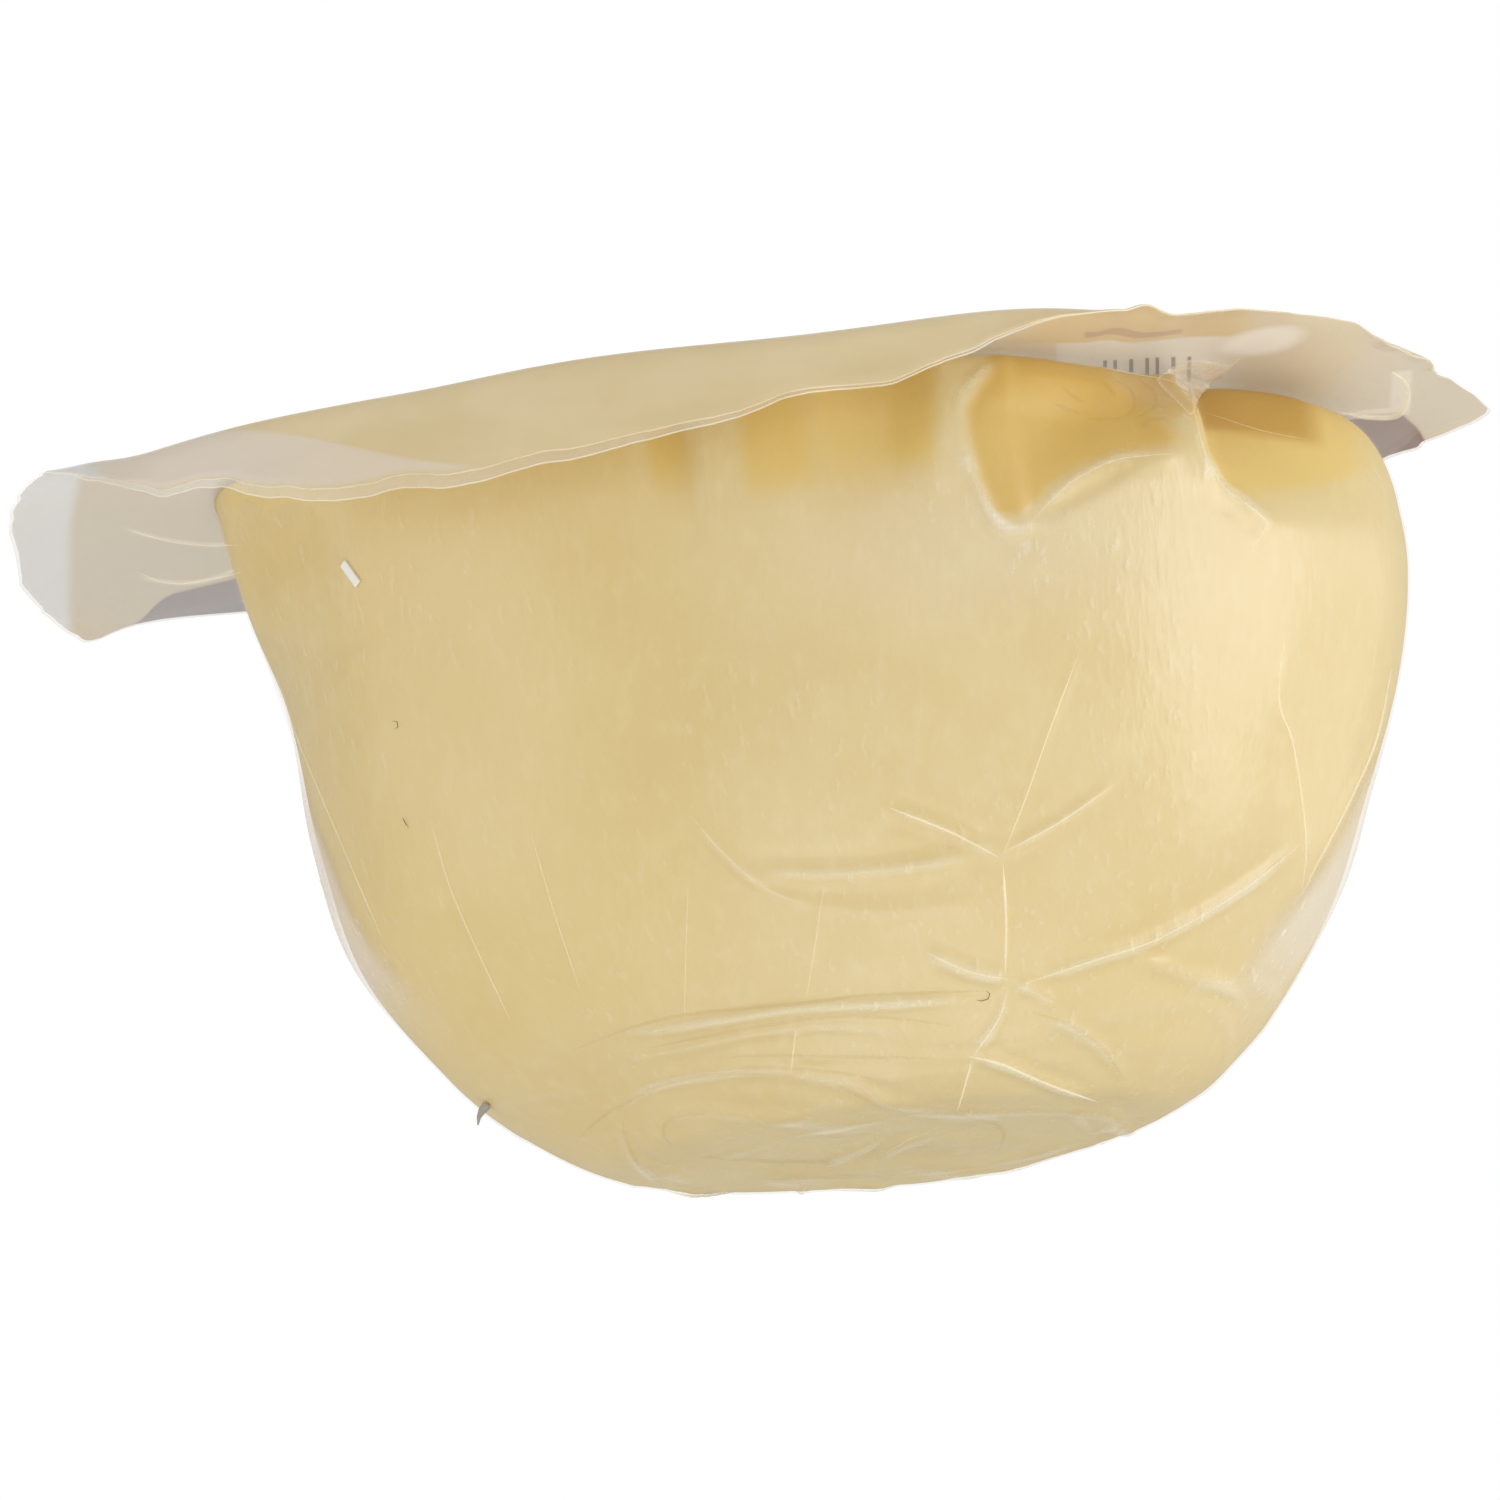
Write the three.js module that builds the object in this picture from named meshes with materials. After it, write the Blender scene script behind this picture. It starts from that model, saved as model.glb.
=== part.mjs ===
// A smoked scamorza in its vacuum pack. The cheese stands on a small flat foot, its rounded sides pressed
// smooth by the formed film, and the sealed film sheet covers its top and stands out all round as a flange.
// Millimetres, +Z up, +X along the pack, -Y to the front. The origin is on the ground under the middle.
import * as THREE from "three";

// Driving dimensions of the cheese
const CHEESE_HALF_LENGTH = 49.3;
const DEPTH_RATIO = 0.66;
const AXIS_X = 5.9;
const FOOT_HALF_LENGTH = 18.5;
const WIDEST_HEIGHT = 52;
const WALL_POWER = 1.75;
const CHEESE_HEIGHT = 61.8;

// The upper part leans a little to the right, from one height to another
const LEAN = 1.5;
const LEAN_FROM = 20;
const LEAN_TO = 45;

// The left wall flares out towards the top
const FLARE = 2.7;
const FLARE_FROM = 44;

// Where the wall is fuller or leaner than that: direction, half span, height, half height and size
const BULGES = [
  { angle: 180, span: 60, z: 42, halfHeight: 12, size: -0.7 },
  { angle: 195, span: 50, z: 21, halfHeight: 11, size: 0.9 },
  { angle: 205, span: 75, z: 2, halfHeight: 8, size: -1.7 },
  { angle: 220, span: 65, z: 8, halfHeight: 13, size: -1.3 },
  { angle: 350, span: 45, z: 54, halfHeight: 8, size: -0.7 },
  { angle: 345, span: 40, z: 20, halfHeight: 8, size: 0.6 },
  { angle: 330, span: 45, z: 8, halfHeight: 12, size: -1.1 },
];

// How far the top edge is rounded in: a mean, and how much more to the right than to the left
const SHOULDER = 5;
const SHOULDER_RIGHT = 5;

// Hollows that the film presses into the front, under the flange: centre, half sizes and depth
const HOLLOWS = [
  { x: -37.0, z: 62.0, halfWidth: 10.0, halfHeight: 16.0, depth: 0.8 },
  { x: -6.5, z: 62.0, halfWidth: 5.5, halfHeight: 19.0, depth: 0.8 },
  { x: 9.5, z: 62.0, halfWidth: 9.5, halfHeight: 15.0, depth: 2.5 },
  { x: 30.5, z: 60.0, halfWidth: 11.0, halfHeight: 16.0, depth: 4.4 },
  { x: 45.5, z: 60.0, halfWidth: 7.5, halfHeight: 15.0, depth: 4.4 },
];

// Driving dimensions of the sealed sheet: lid, flange out to its crest, and the lip beyond the crest
const SHEET_THICKNESS = 0.5;
const SHEET_GAP = 0.3;
const CREST_HALF_LENGTH = 60.3;
const CREST_HALF_DEPTH = 34.5;
const FRONT_POWER = 2.1;
const BACK_POWER = 3.0;
const TAB_POWER = 6.6;
const TAB_ANGLE = 148;
const TAB_SPAN = 50;
const CORNER_POWER = 1.85;
const CORNER_ANGLE = 330;
const CORNER_SPAN = 50;
const LIP = 2.2;
const BACK_LIP = 0.7;

// The lip runs out to a tip on the right, and is longer or shorter in places: direction, half span, size
const TIP = { angle: 6.5, span: 9, length: 2.3 };
const TRIMS = [
  { angle: 345, span: 26, size: -1.6 },
  { angle: 9, span: 24, size: -1.2 },
  { angle: 170, span: 18, size: 1.0 },
  { angle: 192, span: 12, size: -0.6 },
  { angle: 145, span: 10, size: -0.7 },
];

// The lip hangs over the front in a deep fold and a shallow one
const FOLD_ANGLE = 76;
const FOLD_RADIUS = 1.8;
const FOLD_FULL_DROP = 3;
const FOLDS = [
  { x: -26, halfSpan: 36, drop: 8.8 },
  { x: 6, halfSpan: 29, drop: 5.0 },
];

// Where the flange's edge sags, or lifts for a drop below 0: direction, half span and drop
const SAGS = [
  { angle: 8, span: 42, drop: 0.7 },
  { angle: 152, span: 34, drop: 1.1 },
  { angle: 110, span: 20, drop: -2.4 },
];

// Where the flange's crest is higher or lower: direction, half span and lift
const RISES = [
  { angle: 224, span: 20, lift: -0.9 },
  { angle: 203, span: 16, lift: 0.7 },
  { angle: 250, span: 30, lift: -0.5 },
  { angle: 300, span: 30, lift: 0.5 },
  { angle: 335, span: 28, lift: 0.9 },
];

// The flange's slow waves
const WAVE_HEIGHT = 0.5;
const WAVE_COUNT = 11;
const WAVE_START = 115;

// Mesh fineness
const CHEESE_SEGMENTS = 96;
const SHEET_SEGMENTS = 160;
const WALL_ROWS = 17;
const WALL_ROW_POWER = 1.5;
const SHOULDER_ROWS = 5;
const CAP_ROWS = 2;
const LID_ROWS = 3;
const FLANGE_ROWS = 4;
const LIP_ROWS = 5;

const CHEESE_COLOUR = "#e2cb97";
const FILM_COLOUR = "#d8cdb4";
const SHEET_HEIGHT = CHEESE_HEIGHT + SHEET_GAP + SHEET_THICKNESS / 2;
const radians = THREE.MathUtils.degToRad;

// A soft bump: 1 at the centre, 0 from the half span outwards
function bump(value, centre, halfSpan) {
  const distance = Math.min(Math.abs(value - centre) / halfSpan, 1);
  return 0.5 * (1 + Math.cos(Math.PI * distance));
}

// The same round the pack, for directions given in degrees
function bumpRound(angle, centreDegrees, spanDegrees) {
  const offset = angle - radians(centreDegrees);
  const turn = THREE.MathUtils.euclideanModulo(offset + Math.PI, 2 * Math.PI) - Math.PI;
  return bump(turn, 0, radians(spanDegrees));
}

// The same round the pack, straight from 1 at the centre to 0
function tentRound(angle, centreDegrees, spanDegrees) {
  const offset = angle - radians(centreDegrees);
  const turn = THREE.MathUtils.euclideanModulo(offset + Math.PI, 2 * Math.PI) - Math.PI;
  return Math.max(1 - Math.abs(turn) / radians(spanDegrees), 0);
}

function signedPower(value, power) {
  return Math.sign(value) * Math.abs(value) ** power;
}

// How far the top edge is rounded in, at an angle about the cheese
function shoulderDepth(angle) {
  return SHOULDER + SHOULDER_RIGHT * Math.cos(angle);
}

// Half length of the cheese at an angle about it and a height
function wallReach(angle, z) {
  const rise = Math.min(z / WIDEST_HEIGHT, 1);
  const swell = Math.sqrt(1 - (1 - rise) ** WALL_POWER);
  let reach = FOOT_HALF_LENGTH + (CHEESE_HALF_LENGTH - FOOT_HALF_LENGTH) * swell;
  for (const bulge of BULGES) {
    reach += bulge.size * bumpRound(angle, bulge.angle, bulge.span) * bump(z, bulge.z, bulge.halfHeight);
  }
  return reach;
}

// How far the shoulder has turned in at a height, from 0 at the widest to 1 at the top
function shoulderTurn(z) {
  const rise = Math.max(z - WIDEST_HEIGHT, 0) / (CHEESE_HEIGHT - WIDEST_HEIGHT);
  return 1 - Math.sqrt(1 - Math.min(rise, 1) ** 2);
}

// Depth of the front hollows at a place on the front
function hollowDepth(x, z) {
  let depth = 0;
  for (const hollow of HOLLOWS) {
    depth += hollow.depth * bump(x, hollow.x, hollow.halfWidth) * bump(z, hollow.z, hollow.halfHeight);
  }
  return depth;
}

// A point of the cheese: angle, height, and how far out it lies on its level from 0 to 1
function cheesePoint(angle, z, out) {
  const inset = shoulderDepth(angle) * shoulderTurn(z);
  const reach = wallReach(angle, z);
  const lean = LEAN * THREE.MathUtils.smoothstep(z, LEAN_FROM, LEAN_TO);
  const left = Math.max(-Math.cos(angle), 0);
  const flare = FLARE * left * THREE.MathUtils.smoothstep(z, FLARE_FROM, CHEESE_HEIGHT);
  const x = AXIS_X + lean + out * (reach - inset + flare) * Math.cos(angle);
  let y = out * (DEPTH_RATIO * reach - inset) * Math.sin(angle);
  if (y < 0) {
    y += out * out * hollowDepth(x, z) * Math.sin(angle) ** 2;
  }
  return new THREE.Vector3(x, y, z);
}

// Closes a lathe of level rings and moves each of its vertices by a function of ring number, side and angle
function shapedLathe(profile, segments, place) {
  const geometry = new THREE.LatheGeometry(profile, segments);
  const position = geometry.attributes.position;
  for (let i = 0; i < position.count; i += 1) {
    const ring = Math.hypot(position.getX(i), position.getZ(i));
    const angle = (2 * Math.PI * Math.floor(i / profile.length)) / segments;
    const point = place(ring, position.getY(i), angle % (2 * Math.PI));
    position.setXYZ(i, point.x, point.y, point.z);
  }
  geometry.computeVertexNormals();
  return geometry;
}

function cheeseGeometry() {
  const profile = [new THREE.Vector2(0, 0), new THREE.Vector2(1, 0)];
  for (let row = 1; row <= WALL_ROWS; row += 1) {
    profile.push(new THREE.Vector2(1, WIDEST_HEIGHT * (row / WALL_ROWS) ** WALL_ROW_POWER));
  }
  for (let row = 1; row <= SHOULDER_ROWS; row += 1) {
    const turn = (Math.PI / 2) * (row / SHOULDER_ROWS);
    profile.push(new THREE.Vector2(1, WIDEST_HEIGHT + (CHEESE_HEIGHT - WIDEST_HEIGHT) * Math.sin(turn)));
  }
  for (let row = CAP_ROWS - 1; row >= 0; row -= 1) {
    profile.push(new THREE.Vector2(row / CAP_ROWS, CHEESE_HEIGHT));
  }
  return shapedLathe(profile, CHEESE_SEGMENTS, (out, z, angle) => cheesePoint(angle, z, out));
}

// Where the flat flange turns: a rounded outline, squarer at the back, squarest at the back left tab and
// cut away at the front right corner
function crestPoint(angle) {
  const back = 0.5 * (1 + Math.sin(angle));
  const tab = bumpRound(angle, TAB_ANGLE, TAB_SPAN);
  const corner = bumpRound(angle, CORNER_ANGLE, CORNER_SPAN);
  let power = THREE.MathUtils.lerp(FRONT_POWER, BACK_POWER, back);
  power = THREE.MathUtils.lerp(power, TAB_POWER, tab);
  power = THREE.MathUtils.lerp(power, CORNER_POWER, corner);
  const x = CREST_HALF_LENGTH * signedPower(Math.cos(angle), 2 / power);
  const y = CREST_HALF_DEPTH * signedPower(Math.sin(angle), 2 / power);
  return new THREE.Vector2(x, y);
}

function foldDrop(crest) {
  if (crest.y > 0) {
    return 0;
  }
  return FOLDS.reduce((drop, fold) => drop + fold.drop * bump(crest.x, fold.x, fold.halfSpan), 0);
}

// How far the lip goes on past the crest, before what its folds add
function lipLength(angle) {
  let length = LIP + BACK_LIP * Math.max(Math.sin(angle), 0);
  length += TIP.length * tentRound(angle, TIP.angle, TIP.span);
  for (const trim of TRIMS) {
    length += trim.size * bumpRound(angle, trim.angle, trim.span);
  }
  return length;
}

// A point of the sheet's middle surface: 0 to 1 over the lid, 1 to 2 over the flange, 2 to 3 over the lip
function sheetPoint(row, angle) {
  const axis = new THREE.Vector2(AXIS_X, 0);
  const top = cheesePoint(angle, CHEESE_HEIGHT, 1);
  const rim = new THREE.Vector2(top.x, top.y);
  const crest = crestPoint(angle);
  const outward = crest.clone().sub(rim).normalize();
  const plan = new THREE.Vector2();
  let z = SHEET_HEIGHT;
  if (row <= 1) {
    plan.lerpVectors(axis, rim, row);
  } else if (row <= 2) {
    plan.lerpVectors(rim, crest, row - 1);
  } else {
    const drop = foldDrop(crest);
    const fold = radians(FOLD_ANGLE) * Math.min(drop / FOLD_FULL_DROP, 1);
    const along = (row - 2) * (lipLength(angle) + drop);
    const turned = Math.min(along / FOLD_RADIUS, fold);
    const straight = along - turned * FOLD_RADIUS;
    plan.copy(crest).addScaledVector(outward, FOLD_RADIUS * Math.sin(turned) + straight * Math.cos(fold));
    z -= FOLD_RADIUS * (1 - Math.cos(turned)) + straight * Math.sin(fold);
  }
  const slack = THREE.MathUtils.clamp((row - 1) / 2, 0, 1);
  z += slack * WAVE_HEIGHT * Math.sin(WAVE_COUNT * angle + radians(WAVE_START));
  for (const sag of SAGS) {
    z -= slack * slack * sag.drop * bumpRound(angle, sag.angle, sag.span);
  }
  const risen = THREE.MathUtils.clamp(row - 1, 0, 1);
  for (const rise of RISES) {
    z += risen * rise.lift * bumpRound(angle, rise.angle, rise.span);
  }
  return new THREE.Vector3(plan.x, plan.y, z);
}

// The sheet's upward normal, from close neighbours on its middle surface
function sheetNormal(row, angle) {
  const step = 0.01;
  const inner = Math.max(row - step, step);
  const level = Math.max(row, step);
  const outwards = sheetPoint(Math.min(inner + 2 * step, 3), angle).sub(sheetPoint(inner, angle));
  const around = sheetPoint(level, angle + step).sub(sheetPoint(level, angle - step));
  return outwards.cross(around).normalize();
}

function sheetGeometry() {
  const rows = [0];
  for (const [start, count] of [[0, LID_ROWS], [1, FLANGE_ROWS], [2, LIP_ROWS]]) {
    for (let step = 1; step <= count; step += 1) {
      rows.push(start + step / count);
    }
  }
  const under = rows.map((row) => new THREE.Vector2(row, -SHEET_THICKNESS / 2));
  const over = rows.map((row) => new THREE.Vector2(row, SHEET_THICKNESS / 2)).reverse();
  return shapedLathe([...under, ...over], SHEET_SEGMENTS, (row, side, angle) => {
    return sheetPoint(row, angle).addScaledVector(sheetNormal(row, angle), side);
  });
}

function namedMesh(name, geometry, color, roughness) {
  const mesh = new THREE.Mesh(geometry, new THREE.MeshStandardMaterial({ color, roughness, metalness: 0 }));
  mesh.name = name;
  return mesh;
}

const pack = new THREE.Group();
pack.add(namedMesh("scamorza", cheeseGeometry(), CHEESE_COLOUR, 0.45));
pack.add(namedMesh("sealed_film", sheetGeometry(), FILM_COLOUR, 0.3));

export default pack;
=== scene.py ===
"""A smoked scamorza in its vacuum pack, standing on its small foot and seen from a little below.

Three layers make it: the cheese, the clear formed film that clings to it and spreads out into the flange,
and the printed lid film that is sealed over both. Lengths are in millimetres until a mesh is placed.
"""

import math
from collections import namedtuple

import bmesh
import bpy
import numpy as np
from mathutils import Matrix, Vector


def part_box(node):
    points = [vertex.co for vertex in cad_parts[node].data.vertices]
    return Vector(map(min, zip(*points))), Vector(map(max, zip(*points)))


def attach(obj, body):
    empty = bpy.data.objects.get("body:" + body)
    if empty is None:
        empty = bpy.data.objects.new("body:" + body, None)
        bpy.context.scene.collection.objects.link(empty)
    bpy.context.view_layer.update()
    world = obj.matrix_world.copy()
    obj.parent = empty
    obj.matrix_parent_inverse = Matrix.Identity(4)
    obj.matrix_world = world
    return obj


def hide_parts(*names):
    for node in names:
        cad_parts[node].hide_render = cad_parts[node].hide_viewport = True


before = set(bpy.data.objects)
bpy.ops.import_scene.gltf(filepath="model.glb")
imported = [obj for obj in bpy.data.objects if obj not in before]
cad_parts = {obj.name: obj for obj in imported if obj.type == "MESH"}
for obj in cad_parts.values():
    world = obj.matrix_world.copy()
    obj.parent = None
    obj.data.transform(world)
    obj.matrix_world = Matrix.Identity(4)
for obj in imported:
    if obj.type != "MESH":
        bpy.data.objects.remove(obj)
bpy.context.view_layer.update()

MM = 0.001

# The pack's form, as in the solids
HALF_LENGTH = 49.3
DEPTH_RATIO = 0.66
AXIS_X = 5.9
FOOT_HALF_LENGTH = 18.5
WIDEST_HEIGHT = 52.0
WALL_POWER = 1.75
LEAN, LEAN_FROM, LEAN_TO = 1.5, 20.0, 45.0
FLARE, FLARE_FROM = 2.7, 44.0
SHOULDER, SHOULDER_RIGHT = 5.0, 5.0
PACK_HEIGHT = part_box("scamorza")[1].z / MM

# Where the wall is fuller or leaner than that: direction, half span, height, half height, size
BULGES = (
    (180, 60, 42, 12, -0.7),
    (195, 50, 21, 11, 0.9),
    (205, 75, 2, 8, -1.7),
    (220, 65, 8, 13, -1.3),
    (350, 45, 54, 8, -0.7),
    (345, 40, 20, 8, 0.6),
    (330, 45, 8, 12, -0.7),
    (203, 26, 66, 14, 3.0),
    (75, 45, 0, 6, 2.4),
)

# Hollows that the film presses into the front: edges as (along, place) pairs, softness, depth, and how
# golden and how brown the cheese is painted in them, which is painted shade in the recesses
Hollow = namedtuple("Hollow", "left right low soft_left soft_right soft_low depth gold brown")
HOLLOWS = {
    # Painted shade with no depth: the left half of the front more golden, on the side away from the key
    # light
    "left_side_shade": Hollow([(50, -38)], [(50, 2)], [(0, 6)], 8.0, 20.0, 8.0, 0, 0.25, 0),
    "far_left": Hollow([(50, -45)], [(50, -30)], [(0, 46)], 3.0, 9.0, 12.0, 0.8, 0.35, 0),
    "narrow": Hollow([(50, -9.5)], [(50, -2.8)], [(0, 43)], 5.0, 1.4, 14.0, 0.8, 0.35, 0),
    "narrow_gold": Hollow([(50, -8.2)], [(50, -3)], [(0, 48)], 2.4, 2.6, 9.0, 0, 0.95, 0.25),
    "narrow_left": Hollow([(50, -11.6)], [(50, -8.6)], [(0, 45)], 1.4, 1.4, 12.0, 0, 0.4, 0),
    "wide": Hollow(
        [(50, 1.2), (59, 0.2)], [(50, 17.2), (60, 18.2)], [(0, 46.5)], 11.0, 5.0, 9.0, 1.8, 0.7, 0.05
    ),
    "wide_left": Hollow([(50, -0.4)], [(50, 9)], [(0, 48.2)], 2.4, 6.0, 4.5, 0, 0.9, 0.2),
    "wide_right": Hollow([(50, 10)], [(50, 17.2), (60, 18.2)], [(0, 49)], 5.0, 2.4, 4.5, 0, 1.0, 0.15),
    "wide_deep": Hollow([(50, 6)], [(50, 18.0)], [(0, 52)], 9.0, 3.0, 8.0, 0.5, 0.9, 0.15),
    "pocket": Hollow(
        [(45, 22.7), (49, 20.3), (52.5, 19.6), (55.2, 19.6), (58.8, 23)],
        [(50, 42)],
        [(23, 45), (28, 47.4), (37, 50)],
        11.0, 8.0, 8.0, 2.6, 0, 0.4,
    ),
    "pocket_gold": Hollow(
        [(45, 21.7), (46.5, 20.1), (49, 19.3), (52.5, 18.8), (55.2, 18.8), (57.1, 20), (58.8, 21.2)],
        [(51.6, 37.9), (53, 37.6), (54.5, 36.5), (55.8, 35.5), (59, 33)],
        [(22.7, 45), (24.3, 46.2), (25.4, 47.5), (27.1, 48.7), (28.6, 49.7), (31.6, 50.9), (37, 51.4)],
        1.8, 2.2, 1.8, 0, 1.0, 0.44,
    ),
    "pocket_lens": Hollow(
        [(45, 23)],
        [(50, 37)],
        [(22.7, 45), (24.5, 45), (26.2, 45.7), (28.2, 46.5), (30.7, 47.7), (32.6, 49.2), (36.7, 51.1)],
        1.5, 3.0, 1.0, 0.4, 0.3, 0,
    ),
    "right": Hollow([(50, 39)], [(50, 58)], [(40, 45), (53, 44.5)], 2.8, 12.0, 10.0, 2.8, 0.3, 0),
    "right_gold": Hollow(
        [(47, 41.2), (48.4, 39.9), (51.2, 38.8), (56, 38.2)],
        [(50, 56)],
        [(41.9, 46.6), (45.1, 47.2), (49.6, 48.8), (53.4, 51.2)],
        1.4, 7.0, 3.5, 0, 0.9, 0.1,
    ),
    "right_corner": Hollow([(50, 39.4)], [(50, 50)], [(0, 50)], 2.0, 8.0, 8.0, 2.4, 0.8, 0.3),
    "knot": Hollow([(50, 33)], [(50, 46)], [(0, 55)], 5.0, 6.0, 5.0, 2.4, 0, 0),
    "right_brown": Hollow([(50, 38.8)], [(50, 51)], [(39, 54.2), (50, 53.2)], 1.2, 4.0, 2.2, 0, 1.0, 0.92),
}
# How softly the hollows' painted shade begins, as a share of each hollow's softness
SHADE_SOFTNESS = 0.8
HOLLOW_FRONT = 0.25

# Where the formed film stands off the cheese: the line it leaves from, as (height, degrees), and how far
StandOff = namedtuple("StandOff", "line towards span height half_height reach")
STAND_OFFS = {
    "left": StandOff([(10, 212), (22, 202), (46, 188)], -1, 12, 27, 19, 0.5),
    "right": StandOff([(10, 328), (19, 337), (27, 343.5), (36, 352)], 1, 12, 19, 19, 0.34),
}
STAND_OFF_FADE, STAND_OFF_BACK = 8, 34

# Where the formed film's veil is painted paler and milkier, a painted sheen of light on the right and the
# upper
# middle: centre and half span along the pack, the same upwards, and how much
PAINTED_SHEENS = (((20, 30), (44, 13), 0.2), ((44, 16), (14, 14), 0.13))

# How far the foot is pressed in and which way it faces there, and how far the cheese and the film's inner
# face lie under its outer face
FOOT_HOLLOW, FOOT_FACING = 0.45, (0.9, 1.0)
CLING = 0.16
FILM_INSIDE = 0.24

# The sealed sheet of lid and flange: the solids' sheet with a longer right tip, finer folds and more rises
SHEET_HEIGHT = PACK_HEIGHT + 0.55
CREST_HALF_LENGTH, CREST_HALF_DEPTH = 60.3, 34.5
FRONT_POWER, BACK_POWER = 2.1, 3.0
TAB_POWER, TAB_ANGLE, TAB_SPAN = 6.6, 148, 50
CORNER_POWER, CORNER_ANGLE, CORNER_SPAN = 1.85, 330, 50
LIP, BACK_LIP = 2.2, 0.7
RAGGED_ANGLE, RAGGED_SPAN, RAGGED_LEAST = 265, 120, 0.4
RAGGED_WAVES = ((23, 0.4, 0.26), (37, 1.9, 0.16), (67, 4.1, 0.07), (113, 2.6, 0.04))
TIP_LIP, TIP_ANGLE, TIP_SPAN = 4.9, 6.5, 9
TRIMS = ((345, 26, -1.6), (9, 24, -1.2), (170, 18, 1.0), (192, 12, -0.6), (145, 10, -0.3))
FOLD_ANGLE, FOLD_RADIUS, FOLD_FULL_DROP = 76, 1.8, 3.0
FOLDS = ((-16.7, 24.9, 7.8), (-37, 21.4, 5.0), (7.5, 31.1, 4.8))
SAGS = ((8, 42, 0.7), (152, 34, 1.1), (110, 20, -2.4))
RISES = (
    (224, 20, -0.9), (203, 16, 0.7), (250, 30, -0.5), (300, 30, 0.5), (335, 28, 0.9), (305, 3, 0.65),
    (314.5, 7, 0.45),
)
WAVE_HEIGHT, WAVE_COUNT, WAVE_START = 0.5, 11, 115
FILM_LOW, FILM_SEAM, FILM_HIGH = -0.16, 0.0, 0.14
SEAM_GAP = 0.02
LID_CUT, LID_CUT_LEAST, LID_CUT_X, LID_CUT_SPAN = 1.2, 0.25, -22, 38

# The camera, as the photograph was taken: a square of pixels, and one pixel's size at the target
PHOTO_SIDE = 1500
PIXEL = 0.0855
ELEVATION, ROLL = -15.0, 6.1
DISTANCE = 1000.0
TARGET = np.array((-1.5, 0.0, 36.4))
SENSOR = 36.0
CLIP_START, CLIP_END = 0.01, 20.0

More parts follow.
